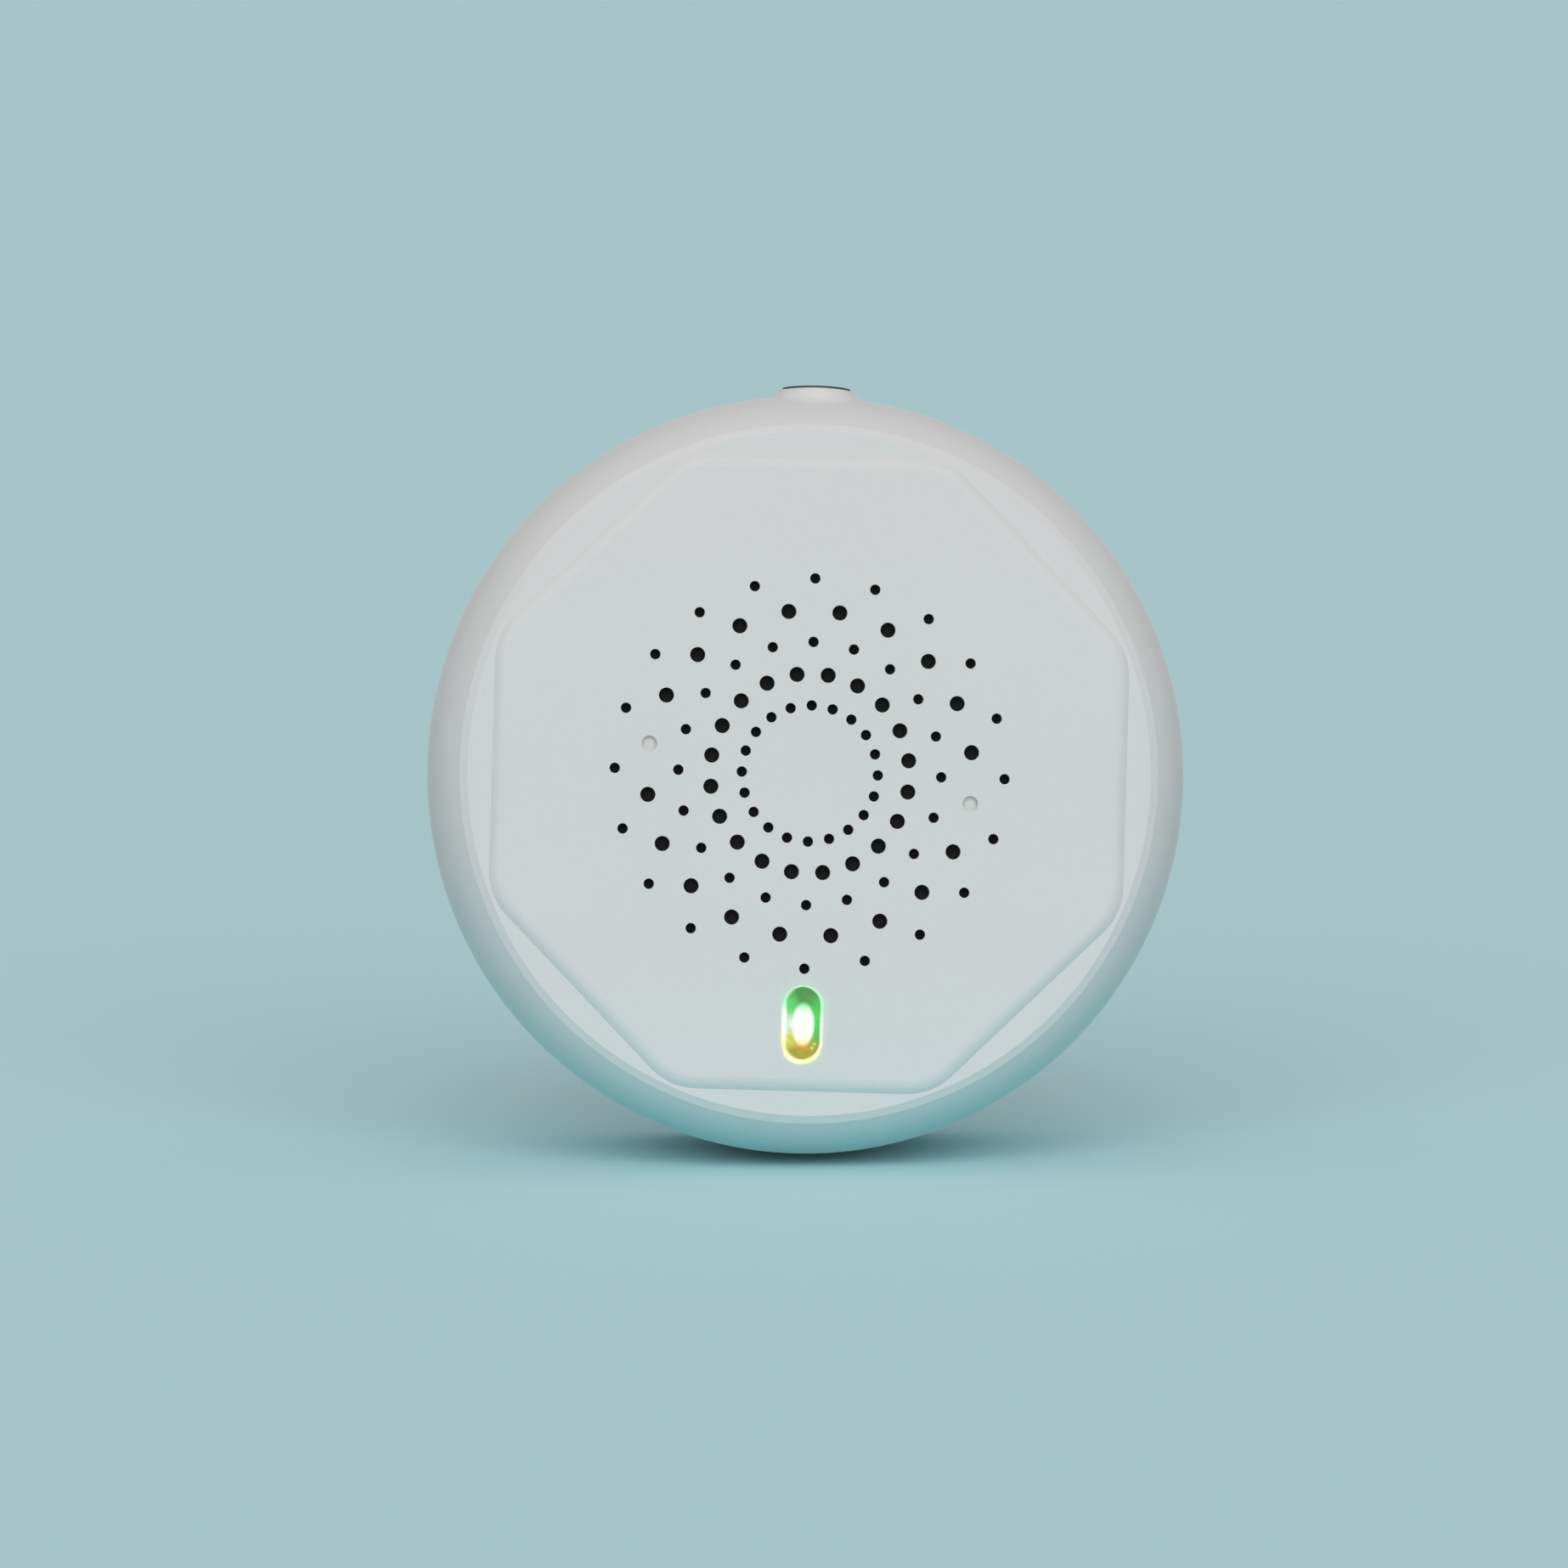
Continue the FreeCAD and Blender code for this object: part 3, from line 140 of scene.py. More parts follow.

# Painted light of the lamps on the slot's lip, in mm: how far out it reaches from the slot's edge.
# It is wider on the left and at the foot, and its shades hang lower on the right than on the left.
GLOW_SIDES = (-0.5, 0.5)
GLOW_LOWERED = 0.9
GLOW_WIDTH_SIDES = (-1.6, 1.6)
GLOW_WIDTH_LEFT = 0.36
GLOW_WIDTH_RIGHT = 0.24
GLOW_FOOT = (-2.8, -3.8)
GLOW_WIDTH_FOOT = 0.22
GLOW_TOP = (0.9, 2.9)
GLOW_WIDTH_TOP = 0.26
GLOW_EDGE_IN = 0.12
GLOW_EDGE_OUT = 0.1
GLOW_BASE = (0.01, 0.01, 0.01, 1.0)
# Faint painted light that spills onto the plate round the slot: how far out it fades, in mm, and its share
SPILL_REACH = (0.2, 1.3)
SPILL_SHARE = 0.7
BLACK = (0.0, 0.0, 0.0, 1.0)

# Colours of the painted light along the slot from its foot to its top: distance up from its middle in mm, and
# shade
GLOW_RANGE = (-4.5, 4.5)
GLOW_SHADES = (
    (-4.4, (250, 250, 225)), (-3.4, (250, 250, 185)), (-2.2, (250, 245, 190)),
    (-1.2, (250, 250, 240)), (0.9, (250, 255, 250)), (2.4, (180, 250, 195)), (4.4, (200, 240, 205)))
SPILL_RANGE = (-6.0, 6.0)
SPILL_SHADES = ((-6.0, (65, 60, 40)), (-2.0, (70, 65, 35)), (0.0, (40, 85, 55)), (6.0, (35, 65, 50)))

# Painted white light at the core of the lens: its shades, and the oval that it fills, in mm
CORE_RANGE = (-2.5, 2.5)
CORE_SHADES = (
    (-2.4, (255, 245, 150)), (-1.6, (255, 255, 240)), (1.1, (250, 255, 250)),
    (1.9, (180, 250, 200)), (2.4, (150, 250, 175)))
CORE_MIDDLE = (0.05, -0.15)
CORE_HALVES = (1.25, 2.4)
CORE_EDGE = (0.82, 1.12)

# Soft pools of light in the lens, each lying over those before it: olive at the foot,
# amber under the core, yellow, white and green on the left, and green on the right.
# Each gives, in mm, across, along, half width and half length, then its share and shade.
LENS_GREEN = (75, 150, 75)
LIGHT_POOLS = (
    (0.0, -4.5, 6.0, 5.0, 1.0, (170, 170, 60)),
    (0.0, -2.4, 2.0, 1.2, 0.6, (245, 145, 60)),
    (-1.7, -1.5, 2.2, 1.8, 0.9, (225, 230, 100)),
    (-1.5, 0.1, 1.3, 1.7, 1.0, (230, 255, 240)),
    (-1.5, 1.8, 1.5, 2.0, 0.8, (100, 230, 120)),
    (1.6, 0.4, 1.9, 3.6, 0.9, (75, 225, 95)))
POOL_FULL = 0.2

# Rim of the lens that takes up the lip's light: out to its edge, on its left, and fading at both ends
RIM_EDGE = (-0.3, -0.18)
RIM_LEFT = (-0.6, -1.4)
RIM_FOOT = (-3.0, -1.8)
RIM_FOOT_SHARE = 0.2
RIM_TOP = (0.9, 2.6)
RIM_TOP_SHARE = 0.3

# Small flaws of the lens, in its painted light: cloudy mottling, and pale bubbles given in mm as across,
# along and size
MOTTLE_SCALE = 1300.0
MOTTLE_SHARE = 0.22
MOTTLE_SHADE = (70, 110, 45)
BUBBLES = ((1.35, -2.25, 0.25), (1.1, -2.7, 0.3))
BUBBLE_CORE = 0.3
BUBBLE_SHARE = 0.75
BUBBLE_SHADE = (190, 240, 140)

# Surface of the lens under its light: light and dark colour of its cloud, roughness and shine
LENS_BODY = ((0.02, 0.022, 0.018, 1.0), (0.012, 0.014, 0.01, 1.0))
LENS_ROUGHNESS = (0.12, 0.2)
LENS_GLINT = 0.12

# Circuit board: tracks from a brick pattern, pads from dots, both over mm
TRACK_PATTERN = {
    "Scale": 0.35, "Mortar Size": 0.012, "Mortar Smooth": 0.1, "Brick Width": 1.7, "Row Height": 0.42}
TRACK_GREEN = (0.04, 0.17, 0.075, 1.0)
MASK_GREENS = ((0.012, 0.075, 0.03, 1.0), (0.018, 0.095, 0.04, 1.0))
MASK_CLOUD = 200.0
PAD_SCALE = 0.4
PAD_EDGE = (0.08, 0.12)
PAD_GOLD = (0.75, 0.6, 0.32, 1.0)
MASK_ROUGHNESS = 0.35
PAD_ROUGHNESS = 0.25
BOARD_BUMP = 0.00004

# Lamps: the level where the dome begins, in mm, and the white resin under it
DOME_EDGE = (-25.75, -25.85)
LAMP_CLOUD = 2000.0
LAMP_WHITES = ((0.7, 0.7, 0.66, 1.0), (0.62, 0.62, 0.58, 1.0))
LAMP_ROUGHNESS = (0.2, 0.35)

# Stretch of the grain on metal that was drawn, turned or rolled
DRAWN_OUT = (1.0, 6.0, 1.0)
ROLLED_ACROSS = (8.0, 1.0, 1.0)


# Shader building

def seen(red, green, blue):
    """Shader colour of a shade given as it shows on a screen, 0 to 255."""
    shades = [value / 255 for value in (red, green, blue)]
    return (*[((shade + 0.055) / 1.055) ** 2.4 for shade in shades], 1.0)


def feed(tree, value, socket):
    """Link an output to the socket, or set the socket to a plain value."""
    if isinstance(value, bpy.types.NodeSocket):
        tree.links.new(value, socket)
    else:
        socket.default_value = value


def new_material(name):
    """Material with its shader, output and the coordinates that every pattern reads."""
    material = bpy.data.materials.new(name)
    material.use_nodes = True
    tree = material.node_tree
    tree.nodes.clear()
    shader = tree.nodes.new("ShaderNodeBsdfPrincipled")
    output = tree.nodes.new("ShaderNodeOutputMaterial")
    place = tree.nodes.new("ShaderNodeTexCoord").outputs["Object"]
    tree.links.new(shader.outputs["BSDF"], output.inputs["Surface"])
    return material, tree, shader, place


def new_group(name, inputs, outputs):
    """Empty node group with its named sockets, given as (name, kind)."""
    group = bpy.data.node_groups.new(name, "ShaderNodeTree")
    for socket_name, kind in inputs:
        group.interface.new_socket(socket_name, in_out="INPUT", socket_type=kind)
    for socket_name, kind in outputs:
        group.interface.new_socket(socket_name, in_out="OUTPUT", socket_type=kind)
    return group, group.nodes.new("NodeGroupInput"), group.nodes.new("NodeGroupOutput")


def placed(tree, group, **values):
    """Group node with its inputs linked or set. Underscores in the names stand for spaces."""
    node = tree.nodes.new("ShaderNodeGroup")
    node.node_tree = group
    for name, value in values.items():
        feed(tree, value, node.inputs[name.replace("_", " ")])
    return node


def calc(tree, kind, first, second=0.0):
    node = tree.nodes.new("ShaderNodeMath")
    node.operation = kind
    feed(tree, first, node.inputs[0])
    feed(tree, second, node.inputs[1])
    return node.outputs["Value"]


def fade(tree, source, start, end, low=0.0, high=1.0):
    """Value that eases from low to high as the source goes from start to end."""
    node = tree.nodes.new("ShaderNodeMapRange")
    node.interpolation_type = "SMOOTHSTEP"
    feed(tree, source, node.inputs["Value"])
    feed(tree, start, node.inputs["From Min"])
    feed(tree, end, node.inputs["From Max"])
    feed(tree, low, node.inputs["To Min"])
    feed(tree, high, node.inputs["To Max"])
    return node.outputs["Result"]


def fade_out(tree, source, start, end):
    return fade(tree, source, start, end, 1.0, 0.0)


def product(tree, *values):
    result = values[0]
    for value in values[1:]:
        result = calc(tree, "MULTIPLY", result, value)
    return result


def reach(tree, first, second):
    """Length of the line whose two sides are given."""
    return calc(tree, "SQRT", calc(tree, "ADD", product(tree, first, first), product(tree, second, second)))


def oval_distance(tree, across, along, middle, halves):
    """Distance from the middle of an oval, 1 on its edge."""
    sides = [calc(tree, "DIVIDE", calc(tree, "SUBTRACT", value, centre), half)
             for value, centre, half in zip((across, along), middle, halves)]
    return reach(tree, *sides)


def blend(tree, share, first, second):
    node = tree.nodes.new("ShaderNodeMix")
    node.data_type = "RGBA"
    sockets = {socket.identifier: socket for socket in node.inputs}
    feed(tree, share, sockets["Factor_Float"])
    feed(tree, first, sockets["A_Color"])
    feed(tree, second, sockets["B_Color"])
    return next(socket for socket in node.outputs if socket.identifier == "Result_Color")


def ramp(tree, source, span, stops):
    """Colour ramp over the span, its stops given as (value, shade as seen)."""
    start, end = span
    node = tree.nodes.new("ShaderNodeValToRGB")
    points = node.color_ramp.elements
    while len(points) < len(stops):
        points.new(1.0)
    for point, (value, shade) in zip(points, stops):
        point.position = (value - start) / (end - start)
        point.color = seen(*shade)
    share = tree.nodes.new("ShaderNodeMapRange")
    feed(tree, source, share.inputs["Value"])
    share.inputs["From Min"].default_value = start
    share.inputs["From Max"].default_value = end
    tree.links.new(share.outputs["Result"], node.inputs["Fac"])
    return node.outputs["Color"]


def noise(tree, vector, scale, detail=2.0):
    node = tree.nodes.new("ShaderNodeTexNoise")
    feed(tree, vector, node.inputs["Vector"])
    feed(tree, scale, node.inputs["Scale"])
    node.inputs["Detail"].default_value = detail
    return node.outputs["Fac"]


def stretched(tree, vector, scale):
    node = tree.nodes.new("ShaderNodeMapping")
    node.inputs["Scale"].default_value = scale
    feed(tree, vector, node.inputs["Vector"])
    return node.outputs["Vector"]


def axes_mm(tree, vector):
    """The three object coordinates in millimetres."""
    node = tree.nodes.new("ShaderNodeSeparateXYZ")
    feed(tree, vector, node.inputs["Vector"])
    return [calc(tree, "MULTIPLY", node.outputs[axis], MM_PER_METRE) for axis in "XYZ"]


def away_from(tree, across, along, middle):
    """Distance from a point given as (across, along)."""
    return reach(tree, calc(tree, "SUBTRACT", across, middle[0]), calc(tree, "SUBTRACT", along, middle[1]))


def raise_surface(tree, shader, height, distance):
    """Bump that stands up by the distance, in metres, where the height is 1."""
    node = tree.nodes.new("ShaderNodeBump")
    node.inputs["Distance"].default_value = distance
    feed(tree, height, node.inputs["Height"])
    tree.links.new(node.outputs["Normal"], shader.inputs["Normal"])


def light_up(tree, shader, colour):
    feed(tree, colour, shader.inputs["Emission Color"])
    shader.inputs["Emission Strength"].default_value = 1.0


# Effects that several materials share

def build_grain():
    """Fine grain with a slow cloud of colour: for moulded, cast and pressed surfaces."""
    group, start, end = new_group("surface_grain", [
        ("Vector", "NodeSocketVector"),
        ("Light Colour", "NodeSocketColor"), ("Dark Colour", "NodeSocketColor"),
        ("Cloud Scale", "NodeSocketFloat"), ("Grain Scale", "NodeSocketFloat"),
        ("Rough Low", "NodeSocketFloat"), ("Rough High", "NodeSocketFloat"),
    ], [("Colour", "NodeSocketColor"), ("Roughness", "NodeSocketFloat"), ("Height", "NodeSocketFloat")])
    given = start.outputs
    clouds = noise(group, given["Vector"], given["Cloud Scale"], CLOUD_DETAIL)
    grain = noise(group, given["Vector"], given["Grain Scale"])
    rough = fade(group, grain, *NOISE_SPAN, given["Rough Low"], given["Rough High"])
    feed(group, blend(group, clouds, given["Light Colour"], given["Dark Colour"]), end.inputs["Colour"])
    feed(group, rough, end.inputs["Roughness"])
    feed(group, grain, end.inputs["Height"])
    return group


def build_weave():
    """Plain weave over two coordinates: wire tops, dark gaps and a height."""
    group, start, end = new_group("plain_weave", [
        ("Across", "NodeSocketFloat"), ("Along", "NodeSocketFloat"), ("Pitch", "NodeSocketFloat"),
    ], [("Wire", "NodeSocketFloat"), ("Height", "NodeSocketFloat")])
    waves = []
    for name in ("Across", "Along"):
        steps = calc(group, "DIVIDE", start.outputs[name], start.outputs["Pitch"])
        waves.append(calc(group, "SINE", calc(group, "MULTIPLY", steps, math.pi)))
    over = calc(group, "MULTIPLY", *waves)
    wire = calc(group, "MAXIMUM", *[calc(group, "ABSOLUTE", wave) for wave in waves])
    feed(group, fade(group, wire, *WIRE_EDGE), end.inputs["Wire"])
    feed(group, calc(group, "ADD", wire, calc(group, "MULTIPLY", over, WIRE_CROSSING)), end.inputs["Height"])
    return group


def build_slot_place():
    """Where a point lies on the indicator slot, in mm: across it, along it and out from its edge."""
    group, start, end = new_group("slot_place", [("Vector", "NodeSocketVector")], [
        ("Across", "NodeSocketFloat"), ("Along", "NodeSocketFloat"), ("Outside", "NodeSocketFloat")])
    across, depth, height = axes_mm(group, start.outputs["Vector"])
    along = calc(group, "SUBTRACT", height, SLOT_HEIGHT)
    past = calc(group, "MAXIMUM", calc(group, "SUBTRACT", calc(group, "ABSOLUTE", along), SLOT_STRAIGHT), 0.0)
    feed(group, across, end.inputs["Across"])
    feed(group, along, end.inputs["Along"])
    feed(group, calc(group, "SUBTRACT", reach(group, across, past), SLOT_HALF), end.inputs["Outside"])
    return group


def build_lip_glow():
    """Painted light of the lamps on the slot's lip: its share, its colour, and the faint painted light that
    spills round it.
    """
    group, start, end = new_group("lip_glow", [("Vector", "NodeSocketVector")], [
        ("Share", "NodeSocketFloat"), ("Colour", "NodeSocketColor"), ("Tint", "NodeSocketColor")])
    slot = placed(group, SLOT_PLACE, Vector=start.outputs["Vector"]).outputs
    across, along, outside = slot["Across"], slot["Along"], slot["Outside"]
    lowered = calc(group, "ADD", along, fade(group, across, *GLOW_SIDES, 0.0, GLOW_LOWERED))
    sides = fade(group, across, *GLOW_WIDTH_SIDES, GLOW_WIDTH_LEFT, GLOW_WIDTH_RIGHT)
    foot = fade(group, along, *GLOW_FOOT, 0.0, GLOW_WIDTH_FOOT)
    width = fade(group, lowered, *GLOW_TOP, calc(group, "ADD", sides, foot), GLOW_WIDTH_TOP)
    inner = calc(group, "SUBTRACT", width, GLOW_EDGE_IN)
    outer = calc(group, "ADD", width, GLOW_EDGE_OUT)
    spread = fade(group, outside, *SPILL_REACH, SPILL_SHARE, 0.0)
    feed(group, fade_out(group, outside, inner, outer), end.inputs["Share"])
    feed(group, ramp(group, lowered, GLOW_RANGE, GLOW_SHADES), end.inputs["Colour"])
    feed(group, blend(group, spread, BLACK, ramp(group, along, SPILL_RANGE, SPILL_SHADES)), end.inputs["Tint"])
    return group


GRAIN = build_grain()
WEAVE = build_weave()
SLOT_PLACE = build_slot_place()
LIP_GLOW = build_lip_glow()


# Materials

def grain_marks(tree, place, light, dark, roughness, cloud=CLOUD_SCALE, grain=GRAIN_SCALE):
    """Colour, roughness and height of a grained surface, as the outputs of one group node."""
    rough_low, rough_high = roughness
    return placed(tree, GRAIN, Vector=place, Light_Colour=(*light, 1.0), Dark_Colour=(*dark, 1.0),
                  Cloud_Scale=cloud, Grain_Scale=grain, Rough_Low=rough_low, Rough_High=rough_high).outputs


def grained(name, light, dark, roughness,
            bump=GRAIN_BUMP, cloud=CLOUD_SCALE, grain=GRAIN_SCALE, stretch=None):
    """Material whose colour, roughness and height come from the surface grain."""
    material, tree, shader, place = new_material(name)
    if stretch:
        place = stretched(tree, place, stretch)
    marks = grain_marks(tree, place, light, dark, roughness, cloud, grain)
    feed(tree, marks["Colour"], shader.inputs["Base Color"])
    feed(tree, marks["Roughness"], shader.inputs["Roughness"])
    raise_surface(tree, shader, marks["Height"], bump)
    return material


def shader_of(material):
    return material.node_tree.nodes["Principled BSDF"]


def soften_edges(shader):
    """Faint sheen of white plastic, which lights it up where it is seen at a low angle."""
    shader.inputs["Sheen Weight"].default_value = SHEEN_WEIGHT
    shader.inputs["Sheen Roughness"].default_value = SHEEN_ROUGHNESS


def white_plastic(name, light, dark):
    material = grained(name, light, dark, WHITE_ROUGHNESS)
    soften_edges(shader_of(material))
    return material


def resin(name, light, dark, rough):
    roughness = (rough, rough + RESIN_ROUGH_RANGE)
    return grained(name, light, dark, roughness, cloud=RESIN_CLOUD, grain=RESIN_GRAIN)


def metal(name, light, dark, roughness, stretch=None):
    material = grained(name, light, dark, roughness, METAL_BUMP, METAL_CLOUD, METAL_GRAIN, stretch)
    shader_of(material).inputs["Metallic"].default_value = 1.0
    return material


def dimple_places():
    """Middle of each blind dimple, in mm across and up."""
    angles = [math.radians(angle) for angle in DIMPLE_ANGLES]
    return [(DIMPLE_RING * math.cos(angle), DIMPLE_RING * math.sin(angle)) for angle in angles]


def hole_shade(tree, place):
    """Share of painted shade: 1 on the walls of the holes, where the dark inside swallows the light, and 0
    elsewhere.
    """
    across, out, height = axes_mm(tree, place)
    depth = calc(tree, "SUBTRACT", out, FACE_LEVEL)
    in_field = fade_out(tree, reach(tree, across, height), HOLE_FIELD_RADIUS, HOLE_FIELD_RADIUS + EDGE_BLUR)
    below_face = fade(tree, depth, HOLE_DARK_FROM, HOLE_DARK_FULL)
    above_end = fade_out(tree, depth, HOLE_END, HOLE_END + EDGE_BLUR)
    shade = product(tree, in_field, below_face, above_end)
    for middle in dimple_places():
        away = away_from(tree, across, height, middle)
        shade = product(tree, shade, fade(tree, away, DIMPLE_REACH, DIMPLE_REACH + EDGE_BLUR))
    return shade


def dimple_painted_shade(tree, place):
    """Share of painted shade in the corner round each blind dimple, more of it on the right."""
    across, out, height = axes_mm(tree, place)
    corner_shade = 0.0
    for middle in dimple_places():
        away = away_from(tree, across, height, middle)
        aside = calc(tree, "SUBTRACT", across, middle[0])
        ring = product(tree, fade(tree, away, *DIMPLE_SHADE_INNER), fade_out(tree, away, *DIMPLE_SHADE_OUTER))
        corner_shade = calc(tree, "ADD", corner_shade, product(tree, ring, fade(tree, aside, *DIMPLE_SHADE_ASIDE, *DIMPLE_SHADE_SHARES)))
    return corner_shade


def cover_plastic():
    """Satin white plastic of the front, with painted shade in its holes and dimples and painted light round
    the indicator.
    """
    material, tree, shader, place = new_material("cover_plastic")
    marks = grain_marks(tree, place, *COVER_WHITE, WHITE_ROUGHNESS)
    glow = placed(tree, LIP_GLOW, Vector=place).outputs
    # Painted shade round the dimples and on the hole walls, and painted lamp light on the slot's lip
    dimple_shaded = blend(tree, dimple_painted_shade(tree, place), marks["Colour"], DIMPLE_SHADE_COLOUR)
    colour = blend(tree, hole_shade(tree, place), dimple_shaded, HOLE_SHADE_COLOUR)
    feed(tree, blend(tree, glow["Share"], colour, GLOW_BASE), shader.inputs["Base Color"])
    feed(tree, marks["Roughness"], shader.inputs["Roughness"])
    raise_surface(tree, shader, marks["Height"], GRAIN_BUMP)
    light_up(tree, shader, blend(tree, glow["Share"], glow["Tint"], glow["Colour"]))
    soften_edges(shader)
    return material


def painted_lens_light(tree, across, along, mottle):
    """Painted light of the lens round its core: green with pools of light over it, mottled, with bubbles."""
    body = seen(*LENS_GREEN)
    for x, z, half_width, half_length, share, shade in LIGHT_POOLS:
        away = oval_distance(tree, across, along, (x, z), (half_width, half_length))
        body = blend(tree, fade(tree, away, POOL_FULL, 1.0, share, 0.0), body, seen(*shade))
    body = blend(tree, fade(tree, mottle, *NOISE_SPAN, 0.0, MOTTLE_SHARE), body, seen(*MOTTLE_SHADE))
    for x, z, size in BUBBLES:
        away = away_from(tree, across, along, (x, z))
        share = fade(tree, away, size * BUBBLE_CORE, size, BUBBLE_SHARE, 0.0)
        body = blend(tree, share, body, seen(*BUBBLE_SHADE))
    return body


def lens_rim(tree, slot):
    """Share of the lip's light on the left rim of the lens, fading at both ends."""
    edge = fade(tree, slot["Outside"], *RIM_EDGE)
    left = fade(tree, slot["Across"], *RIM_LEFT)
    foot = fade(tree, slot["Along"], *RIM_FOOT, RIM_FOOT_SHARE, 1.0)
    top = fade(tree, slot["Along"], *RIM_TOP, 1.0, RIM_TOP_SHARE)
    return product(tree, edge, left, foot, top)


def lens_plastic():
    """Clear light pipe with the lamps' light painted on it: a white core, green above and amber below it."""
    material, tree, shader, place = new_material("lens_plastic")
    slot = placed(tree, SLOT_PLACE, Vector=place).outputs
    across, along = slot["Across"], slot["Along"]
    mottle = noise(tree, place, MOTTLE_SCALE, CLOUD_DETAIL)
    away = oval_distance(tree, across, along, CORE_MIDDLE, CORE_HALVES)
    in_core = fade_out(tree, away, *CORE_EDGE)
    core = ramp(tree, along, CORE_RANGE, CORE_SHADES)
    lit = blend(tree, in_core, painted_lens_light(tree, across, along, mottle), core)
    glow = placed(tree, LIP_GLOW, Vector=place).outputs
    # The lens glows with painted light: its core, the pools round it and the lip's light on its rim
    light_up(tree, shader, blend(tree, lens_rim(tree, slot), lit, glow["Colour"]))
    feed(tree, blend(tree, mottle, *LENS_BODY), shader.inputs["Base Color"])
    feed(tree, fade(tree, mottle, *NOISE_SPAN, *LENS_ROUGHNESS), shader.inputs["Roughness"])
    shader.inputs["Specular IOR Level"].default_value = LENS_GLINT
    return material


def woven(name, wire, gap, pitch, metallic, rough):
    """Woven screen seen from the front, its pitch in mm."""
    material, tree, shader, place = new_material(name)
    across, depth, height = axes_mm(tree, place)
    weave = placed(tree, WEAVE, Across=across, Along=height, Pitch=pitch).outputs
    feed(tree, blend(tree, weave["Wire"], (*gap, 1.0), (*wire, 1.0)), shader.inputs["Base Color"])
    feed(tree, fade(tree, weave["Wire"], 0.0, 1.0, GAP_ROUGHNESS, rough), shader.inputs["Roughness"])
    raise_surface(tree, shader, weave["Height"], WEAVE_BUMP)
    shader.inputs["Metallic"].default_value = metallic
    return material


def board_laminate():
    """Green circuit board: solder mask over tracks, with bright pads."""
    material, tree, shader, place = new_material("board_laminate")
    across, depth, height = axes_mm(tree, place)
    flat = tree.nodes.new("ShaderNodeCombineXYZ")
    feed(tree, across, flat.inputs["X"])
    feed(tree, height, flat.inputs["Y"])
    tracks = tree.nodes.new("ShaderNodeTexBrick")
    feed(tree, flat.outputs["Vector"], tracks.inputs["Vector"])
    for name, value in TRACK_PATTERN.items():
        tracks.inputs[name].default_value = value
    dots = tree.nodes.new("ShaderNodeTexVoronoi")
    feed(tree, flat.outputs["Vector"], dots.inputs["Vector"])
    dots.inputs["Scale"].default_value = PAD_SCALE
    pads = fade_out(tree, dots.outputs["Distance"], *PAD_EDGE)
    mask = blend(tree, noise(tree, place, MASK_CLOUD), *MASK_GREENS)
    track = blend(tree, tracks.outputs["Fac"], mask, TRACK_GREEN)
    feed(tree, blend(tree, pads, track, PAD_GOLD), shader.inputs["Base Color"])
    feed(tree, fade(tree, pads, 0.0, 1.0, MASK_ROUGHNESS, PAD_ROUGHNESS), shader.inputs["Roughness"])
    feed(tree, pads, shader.inputs["Metallic"])
    raise_surface(tree, shader, calc(tree, "ADD", tracks.outputs["Fac"], pads), BOARD_BUMP)
    return material


def lamp_plastic(name, dome, glow):
    """Surface-mounted lamp: white resin body with a tinted dome on its front."""
    material, tree, shader, place = new_material(name)
    across, depth, height = axes_mm(tree, place)
    on_dome = fade(tree, depth, *DOME_EDGE)
    cloud = noise(tree, place, LAMP_CLOUD)
    body = blend(tree, cloud, *LAMP_WHITES)
    feed(tree, blend(tree, on_dome, body, (*dome, 1.0)), shader.inputs["Base Color"])
    feed(tree, fade(tree, cloud, *NOISE_SPAN, *LAMP_ROUGHNESS), shader.inputs["Roughness"])
    light_up(tree, shader, blend(tree, on_dome, BLACK, (*glow, 1.0)))
    return material


